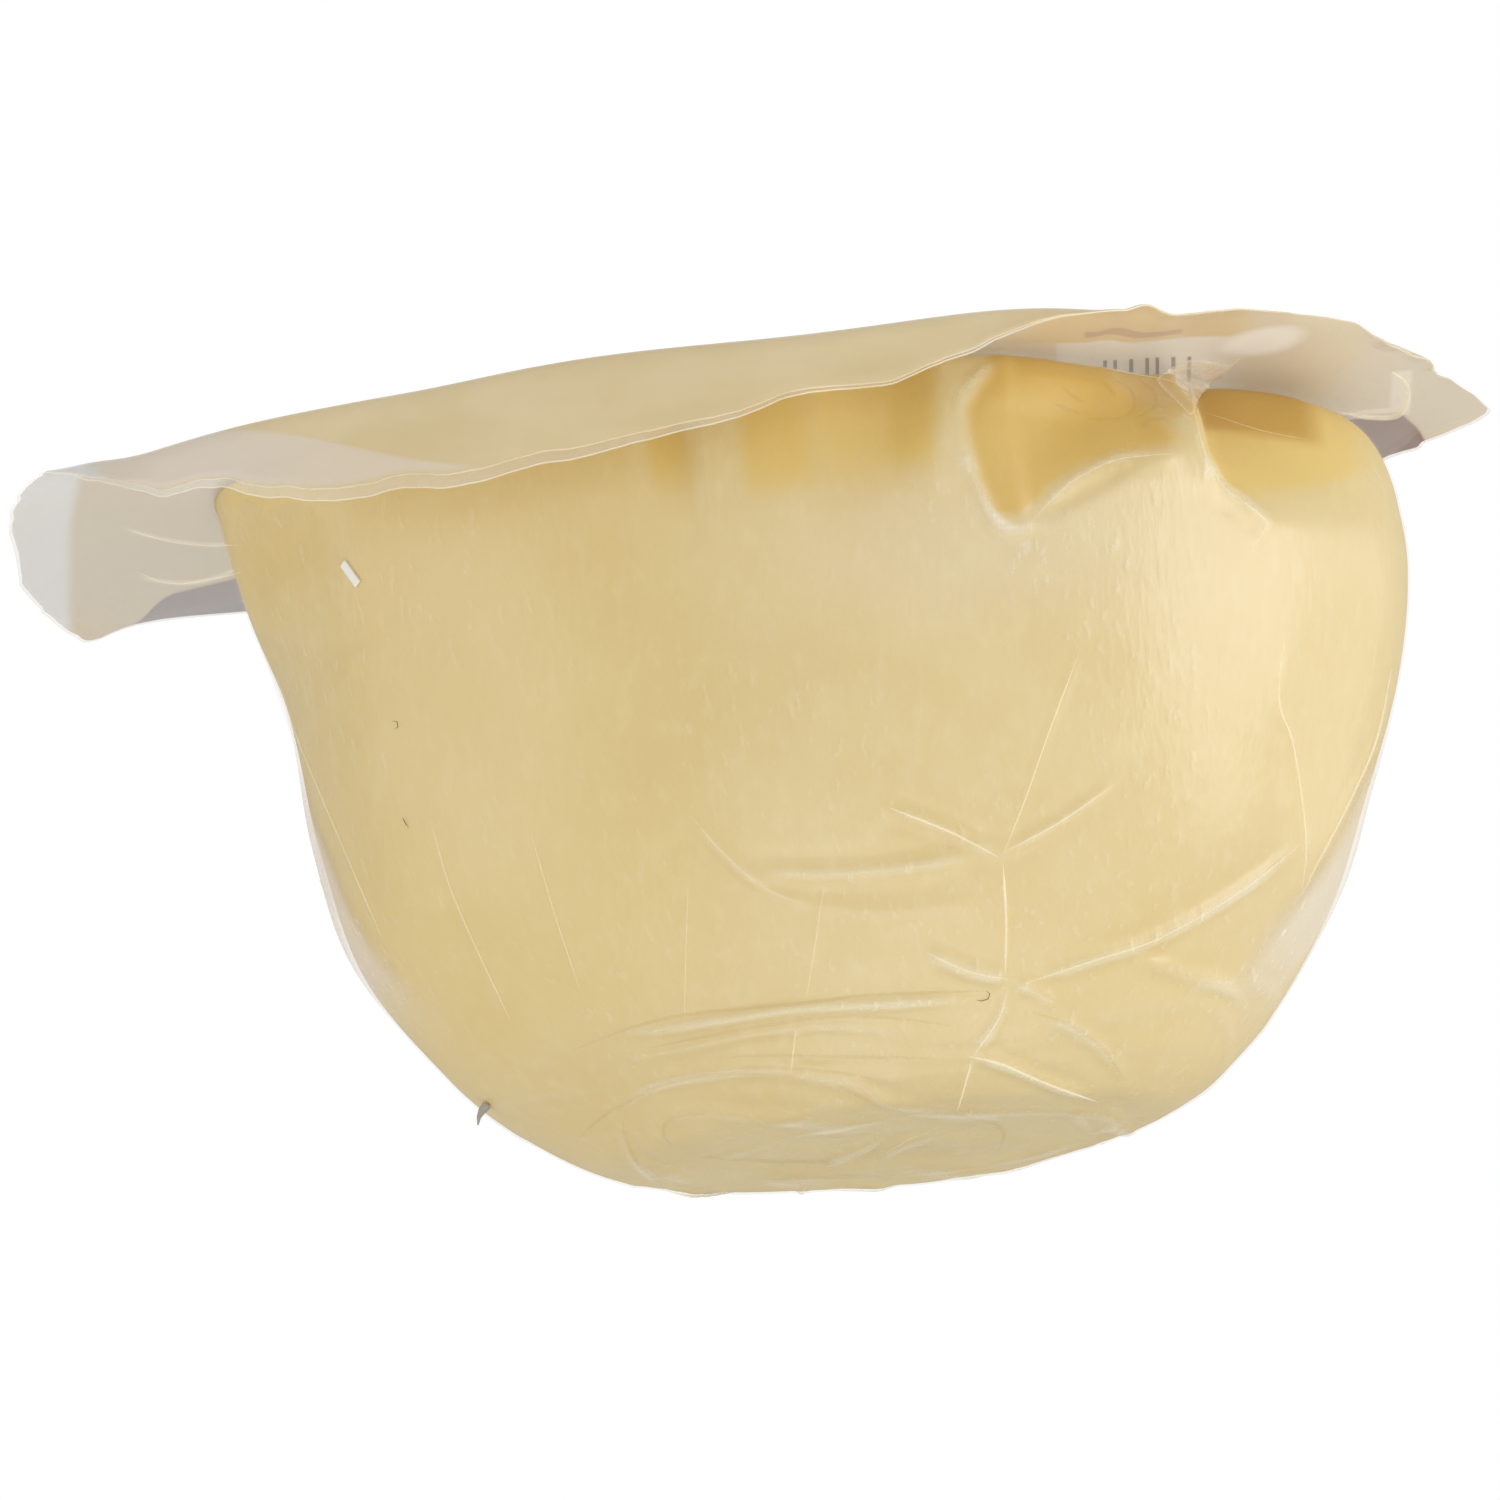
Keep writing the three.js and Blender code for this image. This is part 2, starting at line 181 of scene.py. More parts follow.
# Creases of the formed film, in pixels of the photograph: points, half width, height in millimetres,
# and the share of a pinched white line along the middle
Crease = namedtuple("Crease", "points width height line")
CREASES = {
    "upper_star_left": Crease(((1000, 858), (950, 832), (890, 808)), 7, 0.22, 0.8),
    "upper_star_top": Crease(((1003, 855), (1025, 800), (1048, 735), (1080, 650)), 6, 0.16, 0.5),
    "upper_star_right": Crease(((1005, 852), (1060, 822), (1112, 786)), 7, 0.22, 0.6),
    "upper_star_down": Crease(((1003, 864), (1006, 920), (1005, 975)), 5, 0.22, 1.0),
    "middle_star_right": Crease(
        ((1020, 985), (1090, 962), (1160, 938), (1240, 892), (1300, 845)), 8, 0.26, 0.6
    ),
    "middle_star_left": Crease(((1012, 980), (970, 972), (925, 952)), 10, 0.28, 0.4),
    "middle_star_low_right": Crease(((1015, 985), (1035, 993), (1058, 1006)), 9, 0.22, 0.15),
    "middle_star_down": Crease(((1008, 990), (998, 1020), (974, 1055)), 8, 0.25, 0.4),
    "low_star_right": Crease(((968, 1056), (1000, 1064), (1050, 1085), (1098, 1102)), 6, 0.30, 1.0),
    "low_star_down": Crease(((972, 1060), (965, 1085), (957, 1112)), 5, 0.22, 0.7),
    "upper_shelf": Crease(((745, 872), (830, 874), (920, 866), (990, 850)), 9, 0.22, 0.0),
    "shelf_lower": Crease(((800, 905), (880, 915), (980, 905)), 11, 0.12, 0.0),
    "long_shelf": Crease(
        ((596, 1034), (673, 1028), (726, 1020), (805, 1009), (888, 1004), (984, 998)), 7, 0.24, 0
    ),
    "long_shelf_low": Crease(((600, 1062), (686, 1048), (752, 1034), (825, 1026), (905, 1030)), 6, 0.16, 0),
    "left_diagonal": Crease(((690, 815), (722, 852), (762, 886), (806, 906)), 8, 0.2, 0.2),
    "middle_upright": Crease(((823, 890), (816, 940), (806, 1000)), 5, 0.10, 0.3),
    "middle_upright_low": Crease(((796, 1028), (791, 1072)), 5, 0.12, 0.4),
    "inner_upright": Crease(((688, 880), (686, 950), (684, 1030)), 5, 0.06, 0.2),
    "left_upright": Crease(((430, 820), (455, 900), (510, 1020)), 6, 0.14, 0.4),
    "left_upright_inner": Crease(((530, 830), (555, 915), (580, 990)), 6, 0.12, 0.3),
    "left_stand_off": Crease(((276, 676), (300, 745), (340, 840), (385, 945)), 5, 0.10, 0.5),
    "right_upright": Crease(
        ((1284, 640), (1279, 700), (1292, 740), (1302, 800), (1306, 850), (1301, 896)), 6, 0.16, 0.7
    ),
    "right_stand_off": Crease(
        ((1392, 668), (1376, 740), (1350, 800), (1318, 862), (1301, 896)), 6, 0.20, 0.8
    ),
    "web_left": Crease(
        ((1191, 391), (1195, 414), (1205, 452), (1223, 486), (1243, 501), (1266, 524), (1250, 549)),
        9, 0.26, 0.3
    ),
    "web_shoulder": Crease(((1176, 404), (1186, 430), (1196, 460), (1210, 488)), 12, 0.2, 0),
    "pocket_rim": Crease(
        ((1005, 362), (980, 374), (965, 396), (964, 424), (971, 462), (982, 497), (998, 522), (1019, 530),
         (1036, 521)), 9, 0.32, 0
    ),
    "pocket_low": Crease(
        ((1028, 524), (1050, 502), (1068, 485), (1085, 474), (1120, 459), (1180, 453)), 7, 0.2, 0.2
    ),
    "pocket_ridge": Crease(((957, 366), (955, 400), (955, 440), (962, 485)), 12, 0.28, 0),
    "right_streak": Crease(((1317, 408), (1321, 440), (1323, 475)), 7, 0.12, 0),
    "right_arc": Crease(
        ((1125, 958), (1165, 969), (1217, 985), (1236, 996), (1243, 1010), (1238, 1028)), 9, 0.14, 0
    ),
    "low_arc": Crease(((1030, 1010), (1072, 1028), (1104, 1052), (1126, 1082), (1131, 1122)), 8, 0.16, 0),
    "foot_oval": Crease(
        ((573, 1142), (600, 1122), (623, 1103), (666, 1083), (726, 1073), (790, 1073), (858, 1089),
         (890, 1107), (931, 1116), (984, 1119), (1008, 1136), (998, 1156)), 7, 0.18, 0
    ),
    "foot_loop": Crease(((626, 1116), (625, 1139), (636, 1166), (666, 1187)), 8, 0.3, 0.1),
    "foot_loop_inner": Crease(((649, 1146), (673, 1176), (696, 1190)), 7, 0.2, 0),
    "foot_inner_oval": Crease(
        ((679, 1152), (664, 1136), (666, 1120), (696, 1114), (752, 1119), (858, 1136)), 7, 0.14, 0
    ),
    "foot_line": Crease(((686, 1152), (752, 1159), (845, 1159)), 7, 0.1, 0),
    "foot_line_upper": Crease(((702, 1146), (746, 1141), (799, 1122), (830, 1112)), 7, 0.1, 0),
    "foot_line_low": Crease(((699, 1190), (772, 1187), (838, 1178), (938, 1174), (1001, 1160)), 7, 0.12, 0),
    "foot_cross": Crease(((822, 1169), (858, 1156), (885, 1141)), 6, 0.2, 0.2),
    "low_ripple": Crease(((719, 1063), (752, 1056), (792, 1058), (838, 1059)), 7, 0.1, 0),
    "low_ripple_right": Crease(((825, 1073), (872, 1076), (905, 1076)), 7, 0.1, 0),
    "low_ripple_far": Crease(((901, 1112), (955, 1106), (1057, 1101)), 7, 0.08, 0),
}

# Folds of the flange and of the film that bridges to it, in pixels of the photograph
FOLD_LINES = {
    "flap_fold": Crease(((128, 530), (170, 541), (205, 545), (240, 545)), 4, 0, 0.8),
    "flap_fold_low": Crease(((138, 572), (160, 581), (185, 583), (225, 576), (242, 572)), 4, 0, 0.8),
    "tip_pleat": Crease(
        ((1392, 372), (1406, 382), (1407, 402), (1396, 415), (1370, 416), (1340, 412)), 4, 0, 2.2
    ),
    "web_to_pocket": Crease(((1190, 392), (1170, 381), (1140, 375), (1100, 367)), 4, 0, 0.3),
    "web_up": Crease(((1191, 391), (1204, 382), (1222, 372), (1240, 358)), 4, 0, 0.7),
    "web_across": Crease(((1203, 412), (1231, 421), (1256, 429), (1282, 435), (1310, 440)), 4, 0, 0.2),
}

# How creases are drawn: their steps, reach and ends, where they show, their relief and the cheese's share of
# it, the grooves beside them, and the threads along creases and cut edges
CREASE_STEP, CREASE_REACH = 4.0, 4.0
CREASE_TAPER = (-0.08, 0.22)
CREASE_SHOWN = (0.02, 0.2)
RELIEF, RELIEF_END_ROWS = 1.4, 6
CHEESE_SHARE = 0.7
GROOVE_SHIFT, GROOVE_SHARE = 1.7, 0.4
CREASE_RADIUS, CREASE_LIFT, CREASE_LEAST = 0.11, 0.5, 0.05
EDGE_BEAD, EDGE_BEAD_FRONT = 0.12, 0.65

# A small pointed tag of film at the lower left: where it leaves the film, its steps in pixels, its radii
TAG_START = (487, 1105)
TAG_STEPS = ((0, 0), (-5, 6), (-8, 12), (-9, 20))
TAG_RADII = (0.42, 0.34, 0.2, 0.06)

# A white sliver caught on the film, by its ends in the photograph, and its width and thickness
FLECK_ENDS = ((343, 563), (358, 584))
FLECK_WIDTH, FLECK_THICKNESS, FLECK_BEVEL = 0.8, 0.3, 0.12

# Rings that the slack film makes round the foot
RING_COUNT = 34
RING_SEED = 11
RING_RADII = (9.0, 36.0)
RING_HEIGHTS = (0.06, 0.2)
RING_WIDTHS = (0.6, 1.2)
RING_WANDERS, RING_WAVES, RING_SPANS = (0.5, 2.5), (2, 5), (30, 110)
RING_TOP, RING_MIDDLE = (9, 20), (2, 8)

# Fine lines on the film, in pixels of the photograph: hairs, and painted shade on the shaded sides of
# wrinkles
HAIRS = (
    ((392, 721), (397, 722), (398, 727), (394, 729)),
    ((402, 817), (406, 824), (409, 828)),
    ((976, 1000), (982, 1001), (988, 999), (990, 994), (986, 991)),
    ((1129, 440), (1132, 441)),
)
HAIR_RADIUS, HAIR_STRENGTH = 0.035, 0.9
WRINKLE_SHADE_LINES = (
    ((1090, 419), (1106, 419), (1122, 418), (1133, 409), (1135, 398), (1129, 387), (1116, 381)),
    ((1134, 418), (1144, 413), (1153, 406), (1156, 400), (1152, 390), (1140, 380)),
    ((1062, 386), (1073, 396), (1085, 403)),
    ((1055, 404), (1068, 409), (1080, 413)),
    ((1103, 381), (1110, 389), (1116, 395)),
    ((1141, 427), (1152, 419), (1167, 418)),
    ((573, 1050), (640, 1025), (699, 1013), (805, 1003), (872, 995), (988, 991)),
    ((649, 1048), (739, 1030), (822, 1018), (888, 1018), (955, 1026)),
    ((576, 1142), (600, 1119), (626, 1103), (666, 1084), (726, 1074), (772, 1075)),
    ((832, 1081), (872, 1103), (905, 1113)),
    ((623, 1119), (626, 1142), (640, 1166), (663, 1186)),
    ((706, 1114), (680, 1116), (665, 1124), (664, 1136), (673, 1146)),
    ((700, 1157), (772, 1161), (838, 1162)),
    ((726, 1069), (772, 1068), (839, 1073), (872, 1079)),
    ((726, 1059), (752, 1056), (850, 1057), (938, 1059)),
    ((772, 1179), (872, 1176), (988, 1166)),
    ((955, 1114), (994, 1124), (1004, 1136), (998, 1152)),
    ((1028, 1011), (1072, 1026), (1104, 1050), (1124, 1080)),
)
WRINKLE_RADIUS, WRINKLE_STRENGTH = 0.15, 0.06

# The small web of film that bridges from the ridge beside the pocket to the lid: its middle and its border
WEB_MIDDLE = (1188, 376)
WEB_BORDER = (
    (1156, 378), (1170, 368), (1190, 360), (1212, 362), (1230, 367), (1214, 382), (1201, 394), (1196, 406),
    (1191, 414), (1182, 406), (1172, 396), (1162, 387),
)
WEB_STEPS = 6
WEB_LIFT, WEB_THICKNESS = 0.35, 0.12

# The room's even light, its white backdrop, its floor, and its soft lights: place and size in metres,
# and power in watts
ROOM, BACKDROP = 0.58, 1.0
FLOOR_HALF = 2.0
LIGHTS = {
    "key": ((1.1, -0.5, 0.1), 0.9, 5.0),
    "edge": ((1.1, 0.35, 0.05), 0.8, 1.4),
    "left": ((-1.15, -0.5, 0.15), 1.2, 2.6),
    "low": ((0.0, -0.85, -1.0), 1.8, 5.6),
}

# How much light comes through the printed lid, the formed film and its pinched creases
LID_GLOW = 0.2
FILM_GLOW = 0.08
THREAD_GLOW = 0.1

# How strongly the film mirrors, facing the eye and more towards its edges, and how rough its veil is
MIRROR, MIRROR_EDGE, MIRROR_POWER = 0.05, 0.14, 5.0
VEIL_ROUGHNESS = 0.4

# Where the noise of each pattern begins to show and where it is full
PATCHY = (0.3, 0.7)
CURD_SHOWN, CURD_SHARE = (0.45, 0.8), 0.4
GRAIN_SHOWN, SPECKS_SHOWN, SPECKS_CLOUDY = (0.55, 0.8), (0.6, 0.7), (0.42, 0.6)
WEB_CLOUDY = (0.35, 0.7)

# How much each thing adds to the formed film's pale veil, and where a crease, a gap or the painted sheen is
# full
FILM_VEIL = 0.03
GRAIN_VEIL, CLOUD_VEIL, SPECK_VEIL = 0.05, 0.05, 0.13
CREASE_VEIL, GAP_VEIL, FLANGE_VEIL = 0.5, 0.44, 0.1
FULL_CREASE, FULL_GAP, FULL_SHEEN = (0.04, 0.42), 0.35, 0.2

# The veils of the pinched creases and of the web, and what their cloudiness adds
CREASE_CLEAREST, CREASE_CLOUD = 0.05, 0.5
WEB_VEIL, WEB_CLOUD = 0.16, 0.22

# The lid's veil, and what its bare margin, its tail and its dark field add
LID_VEIL, MARGIN_VEIL, TAIL_VEIL, FIELD_VEIL = 0.7, -0.2, -0.1, 0.18

# The lid's fields of colour and its painted glint of reflected light, on the sheet laid flat. A band is its
# two edges and how softly each begins
Band = namedtuple("Band", "low high soft_low soft_high")
PRINT_TURN = 17
MARGIN_SLANT, MARGIN_BOW, MARGIN_BOW_FROM, MARGIN_EDGE = 0.083, 0.004, 3.0, (-57.1, -58.4)
TAIL_SLANT, TAIL_EDGE = 1.495, (-82.2, -83.0)
FIELD_FRONT, FIELD_BOW, FIELD_MIDDLE = 4.8, 0.00275, 30.0
FIELD_HOOK, FIELD_HOOK_FROM = 0.35, -50.0
FIELD_END, FIELD_SLANT = 55.38, 0.352
FIELD_SOFTNESS = 0.4
FIELD_WARMS = (-20.0, 30.0)
# Where the face that lies on the cheese turns paler to the right, painted light over the body's shade there,
# and where it turns to its left colour
PAINTED_LIGHT_RIGHT, UNDER_LEFT = (10.0, 30.0), (-35.0, -45.0)
TAN_X, TAN_EDGE = Band(20.0, 46.0, 8.0, 4.0), (-30.2, -31.0)
PATCH_X, PATCH_ACROSS = Band(27.6, 44.5, 0.4, 4.0), Band(-30.6, -17.0, 0.4, 0.4)
BARS_X, BARS_ACROSS = Band(31.0, 39.4, 0.2, 0.2), Band(-26.0, -19.0, 0.2, 0.2)
BAR_WAVES, BAR_EDGE = (5.2, 8.7), (0.5, 0.7)
STRIP_X, STRIP_ACROSS = Band(30.0, 38.6, 0.4, 0.4), Band(-33.2, -31.6, 0.2, 0.2)
# A painted glint of reflected light on the lid's underside: its middle, its scale and where its edge fades
GLINT_MIDDLE, GLINT_SCALE, GLINT_EDGE = (45.4, -16.0), (0.23, 0.22), (1.0, 0.2)
PLEAT_X, PLEAT_Y = Band(56.4, 58.7, 0.6, 0.5), Band(-4.6, 8.0, 1.0, 0.8)
TURNED_X, TURNED_Y = Band(51.0, 58.2, 2.5, 1.0), Band(5.0, 7.9, 0.8, 0.6)
FLAP_FOLDS, FLAP_FOLDS_X = ((10.2, 0.092, -43.0), (20.2, 0.16, -48.6)), Band(-53.6, -40.0, 2.1, 3.0)
FLAP_FOLD_WIDTH = (1.1, 0.1)
PLEAT_SHARE, FLAP_FOLD_SHARE = 0.6, 0.6

# The finishes' colours
COLOURS = {
    "cheese": "#e2c887",
    "cheese_pale": "#e6cf93",
    "curd": "#eddba8",
    # Painted shade in the hollows: golden, then a deeper brown
    "gold": "#ebcb73",
    "brown": "#c2942c",
    "film": "#f8efcd",
    "flange": "#f3ede2",
    "gap": "#fdf3e4",
    # Painted sheen of light on the formed film
    "painted_sheen": "#fcf5e0",
    "crease": "#fff7df",
    "web": "#f3e3ca",
    "tag": "#a9a499",
    "fleck": "#fcfaf4",
    "hairs": "#6b4a22",
    # Painted shade on the sides of wrinkles
    "wrinkle_shade": "#c6a768",
    "lid": "#cebb8e",
    "lid_pale": "#d4c39b",
    # Painted light on the lid's underside, to the right
    "painted_light_right": "#d9cbb0",
    "under_left": "#c6b99e",
    "tail": "#d6cbbd",
    "field_top": "#877a7b",
    "field_left": "#85787c",
    "field_right": "#763c18",
    "tan": "#d8bb74",
    "patch": "#e4dfd5",
    "bars": "#5b524b",
    "strip": "#b98f5c",
    # A painted glint of reflected light
    "glint": "#ffffff",
    "pleat": "#fbf6ee",
    "flap_fold": "#f6f0ea",
    "margin": "#cfcecd",
    "floor": "#f1f0ee",
}

# Mesh fineness
COLUMNS = 440
FRONT_CROWDING = 0.6
FOOT_ROWS, WALL_ROWS, SHOULDER_ROWS, CAP_ROWS = 30, 124, 22, 6
WALL_ROW_POWER = 1.35
INNER_ROWS = 8
LID_ROWS, FLANGE_ROWS, LIP_ROWS = 8, 12, 14
RETURN_ROWS = 8


def paint(name):
    """A named colour as linear red, green, blue and alpha."""
    parts = [int(COLOURS[name][i:i + 2], 16) / 255 for i in (1, 3, 5)]
    return [p / 12.92 if p <= 0.04045 else ((p + 0.055) / 1.055) ** 2.4 for p in parts] + [1.0]


def bump(value, centre, half_span):
    """1 at the centre and 0 from the half span outwards."""
    return 0.5 * (1 + np.cos(np.pi * np.minimum(np.abs(value - centre) / half_span, 1)))


def degrees_from(angle, centre):
    """How many degrees an angle lies past a direction, from -180 to 180."""
    return (np.degrees(angle) - centre + 180) % 360 - 180


def bump_round(angle, centre, span):
    return bump(degrees_from(angle, centre), 0, span)


def ease(value, low, high):
    """0 up to low, 1 from high, and smooth between."""
    share = np.clip((value - low) / (high - low), 0, 1)
    return share * share * (3 - 2 * share)


def signed_power(value, power):
    return np.sign(value) * np.abs(value) ** power


def along(pairs, place):
    """The value at a place on a line given as (place, value) pairs."""
    places, values = zip(*pairs)
    return np.interp(place, places, values)


def stacked(x, y, z):
    return np.stack(np.broadcast_arrays(x, y, z), axis=-1)


def inside_hollow(hollow, x, z, softness=1.0):
    """1 well inside a hollow and 0 outside it."""
    left, right, low = along(hollow.left, z), along(hollow.right, z), along(hollow.low, x)
    inside = ease(x, left, left + softness * hollow.soft_left)
    inside = inside * (1 - ease(x, right - softness * hollow.soft_right, right))
    return inside * ease(z, low, low + softness * hollow.soft_low)


def hollow_depth(x, z):
    return sum(h.depth * inside_hollow(h, x, z) for h in HOLLOWS.values())


def hollow_shade(x, z):
    """How golden and how brown the cheese is painted in the hollows: painted shade in the recesses."""
    tints = [inside_hollow(h, x, z, SHADE_SOFTNESS) * [[h.gold], [h.brown]] for h in HOLLOWS.values()]
    return np.max(tints, axis=0)


def pack_point(angle, z, out=1.0):
    """A point of the filled pack's surface, at a height and a share of the way out from the axis."""
    rise = np.minimum(z / WIDEST_HEIGHT, 1)
    swell = np.sqrt(np.maximum(1 - (1 - rise) ** WALL_POWER, 0))
    reach = FOOT_HALF_LENGTH + (HALF_LENGTH - FOOT_HALF_LENGTH) * swell
    for centre, span, height, half_height, size in BULGES:
        reach = reach + size * bump_round(angle, centre, span) * bump(z, height, half_height)
    over = np.clip((z - WIDEST_HEIGHT) / (PACK_HEIGHT - WIDEST_HEIGHT), 0, 1)
    inset = (SHOULDER + SHOULDER_RIGHT * np.cos(angle)) * (1 - np.sqrt(1 - over ** 2))
    lean = LEAN * ease(z, LEAN_FROM, LEAN_TO)
    flare = FLARE * np.maximum(-np.cos(angle), 0) * ease(z, FLARE_FROM, PACK_HEIGHT)
    x = AXIS_X + lean + out * (reach - inset + flare) * np.cos(angle)
    y = out * (DEPTH_RATIO * reach - inset) * np.sin(angle)
    depth = hollow_depth(x, z) * ease(-np.sin(angle), 0, HOLLOW_FRONT) * out ** 2
    across, deep = DEPTH_RATIO * np.cos(angle), np.sin(angle)
    size = np.hypot(across, deep)
    return stacked(x - depth * across / size, y - depth * deep / size, z)


def stand_off(angle, z):
    """How far the formed film stands off the cheese."""
    total = 0
    for s in STAND_OFFS.values():
        past = s.towards * degrees_from(angle, along(s.line, z))
        fade = 1 - ease(past, s.span + STAND_OFF_FADE, STAND_OFF_BACK)
        total = total + s.reach * ease(past, 0, s.span) * fade * bump(z, s.height, s.half_height)
    return total


def crest_point(angle):
    """Where the flat flange turns down: squarer at the back, squarest at the back left tab."""
    power = FRONT_POWER + (BACK_POWER - FRONT_POWER) * 0.5 * (1 + np.sin(angle))
    power = power + (TAB_POWER - power) * bump_round(angle, TAB_ANGLE, TAB_SPAN)
    power = power + (CORNER_POWER - power) * bump_round(angle, CORNER_ANGLE, CORNER_SPAN)
    x = CREST_HALF_LENGTH * signed_power(np.cos(angle), 2 / power)
    y = CREST_HALF_DEPTH * signed_power(np.sin(angle), 2 / power)
    return np.stack((x, y), axis=-1)


def ragged(angle):
    """The small unevenness of the cut edge."""
    zigzag = sum(size * np.arcsin(np.sin(count * angle + start)) for count, start, size in RAGGED_WAVES)
    return zigzag * (RAGGED_LEAST + (1 - RAGGED_LEAST) * bump_round(angle, RAGGED_ANGLE, RAGGED_SPAN))


def lip_length(angle, crest, cut):
    """How far the sheet goes on past its crest, and how much of that hangs down."""
    drop = sum(fall * bump(crest[..., 0], x, span) for x, span, fall in FOLDS)
    drop = np.where(crest[..., 1] > 0, 0, drop)
    tip = TIP_LIP * np.maximum(1 - np.abs(degrees_from(angle, TIP_ANGLE)) / TIP_SPAN, 0)
    tip = tip + sum(size * bump_round(angle, centre, span) for centre, span, size in TRIMS)
    in_front = bump(crest[..., 0], LID_CUT_X, LID_CUT_SPAN) * (crest[..., 1] < 0)
    shorter = cut * (LID_CUT_LEAST + (1 - LID_CUT_LEAST) * in_front)
    return LIP + BACK_LIP * np.maximum(np.sin(angle), 0) + tip + drop + ragged(angle) - shorter, drop


def sheet_point(angle, row, cut=0.0):
    """A point of the sealed sheet: row 0 to 1 over the lid, to 2 over the flange, to 3 over the lip.
    Also gives the same point on the sheet laid flat."""
    rim = pack_point(angle, np.full(np.shape(angle), PACK_HEIGHT))[..., :2]
    axis = np.array((AXIS_X, 0.0))
    crest = crest_point(angle)
    outward = crest - rim
    outward = outward / np.linalg.norm(outward, axis=-1, keepdims=True)
    length, drop = lip_length(angle, crest, cut)
    fold = math.radians(FOLD_ANGLE) * np.minimum(drop / FOLD_FULL_DROP, 1)
    past = np.clip(row - 2, 0, 1) * length
    turned = np.minimum(past / FOLD_RADIUS, fold)
    straight = past - turned * FOLD_RADIUS
    on_lid, on_flange = np.clip(row, 0, 1)[..., None], np.clip(row - 1, 0, 1)[..., None]
    flat = axis + (rim - axis) * on_lid + (crest - rim) * on_flange
    over = FOLD_RADIUS * np.sin(turned) + straight * np.cos(fold)
    plan = flat + outward * over[..., None]
    slack = np.clip((row - 1) / 2, 0, 1)
    z = SHEET_HEIGHT - FOLD_RADIUS * (1 - np.cos(turned)) - straight * np.sin(fold)
    z = z + slack * WAVE_HEIGHT * np.sin(WAVE_COUNT * angle + math.radians(WAVE_START))
    for centre, span, fall in SAGS:
        z = z - slack ** 2 * fall * bump_round(angle, centre, span)
    for centre, span, lift in RISES:
        z = z + np.clip(row - 1, 0, 1) * lift * bump_round(angle, centre, span)
    return stacked(plan[..., 0], plan[..., 1], z), flat + outward * past[..., None]


def normals(place, angle, row, low=0.02, high=1e9):
    """Unit normals of a surface given by a place function of angle and row, on its left-hand side."""
    step = 0.01
    row = np.clip(row, low, high)
    around = place(angle + step, row) - place(angle - step, row)
    outwards = place(angle, np.minimum(row + step, high)) - place(angle, row - step)
    facing = np.cross(around, outwards)
    return facing / np.maximum(np.linalg.norm(facing, axis=-1, keepdims=True), 1e-12)


def crowded(angle):
    """Angles drawn closer together towards the front."""
    return angle - FRONT_CROWDING * np.cos(angle)


def closed_tube(name, rows):
    """A tube of unit radius whose height counts its rows, drawn to a point at each end, with more columns
    to the front. Gives the mesh with the angle and the row of each vertex."""
    bm = bmesh.new()
    bmesh.ops.create_grid(bm, x_segments=COLUMNS, y_segments=rows, size=0.5)
    joins = []
    for v in bm.verts:
        turn, row = 2 * math.pi * v.co.x, round((v.co.y + 0.5) * rows)
        radius = 1 if 0 < row < rows else 0
        if not radius or abs(v.co.x) > 0.499:
            joins.append(v)
        v.co = (radius * math.cos(turn), radius * math.sin(turn), row)
    bmesh.ops.remove_doubles(bm, verts=joins, dist=0.001)
    bmesh.ops.recalc_face_normals(bm, faces=bm.faces)
    mesh = made_mesh(bm, name)
    co = np.empty(len(mesh.vertices) * 3)
    mesh.vertices.foreach_get("co", co)
    x, y, z = co.reshape(-1, 3).T
    return mesh, crowded(np.arctan2(y, x)), z


def set_points(mesh, points):
    mesh.vertices.foreach_set("co", (points * MM).ravel())
    smooth(mesh)


def set_attribute(mesh, name, values):
    layer = mesh.attributes.new(name, "FLOAT", "POINT")
    layer.data.foreach_set("value", np.asarray(values, np.float32))


def placed(name, data):
    thing = bpy.data.objects.new(name, data)
    bpy.context.scene.collection.objects.link(thing)
    return thing


def made_mesh(bm, name):
    mesh = bpy.data.meshes.new(name)
    bm.to_mesh(mesh)
    bm.free()
    return mesh


def smooth(mesh):
    mesh.polygons.foreach_set("use_smooth", np.ones(len(mesh.polygons), bool))
    mesh.update()


def sharpen(mesh, ring):
    """Keeps the fold between two faces of the film crisp, along a ring of vertices."""
    ends = np.empty(len(mesh.edges) * 2, np.int32)
    mesh.edges.foreach_get("vertices", ends)
    layer = mesh.attributes.new("sharp_edge", "BOOLEAN", "EDGE")
    layer.data.foreach_set("value", ring[ends.reshape(-1, 2)].all(axis=1))


def new_piece(mesh, material, slot, *nodes):
    """A finished piece of the pack, in place, standing for the solids it replaces."""
    piece = placed(mesh.name, mesh)
    mesh.materials.append(material)
    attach(piece, "root")
    for node in nodes:
        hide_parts(node)
    return piece


# Rows of the domed surface, from the middle of the foot to the edge of the top
DOME_ROWS = FOOT_ROWS + WALL_ROWS + SHOULDER_ROWS
WALL_START, SHOULDER_START = FOOT_ROWS, FOOT_ROWS + WALL_ROWS


def dome_height(row):
    wall = np.clip((row - WALL_START) / WALL_ROWS, 0, 1) ** WALL_ROW_POWER
    turn = 0.5 * np.pi * np.clip((row - SHOULDER_START) / SHOULDER_ROWS, 0, 1)
    return WIDEST_HEIGHT * wall + (PACK_HEIGHT - WIDEST_HEIGHT) * np.sin(turn)


def dome_point(angle, row):
    """A point of the pack's dome: the foot, the wall and the shoulder, then in over the top."""
    out = np.clip(row / FOOT_ROWS, 0, 1) * np.clip((DOME_ROWS + CAP_ROWS - row) / CAP_ROWS, 0, 1)
    return pack_point(angle, dome_height(row), out)


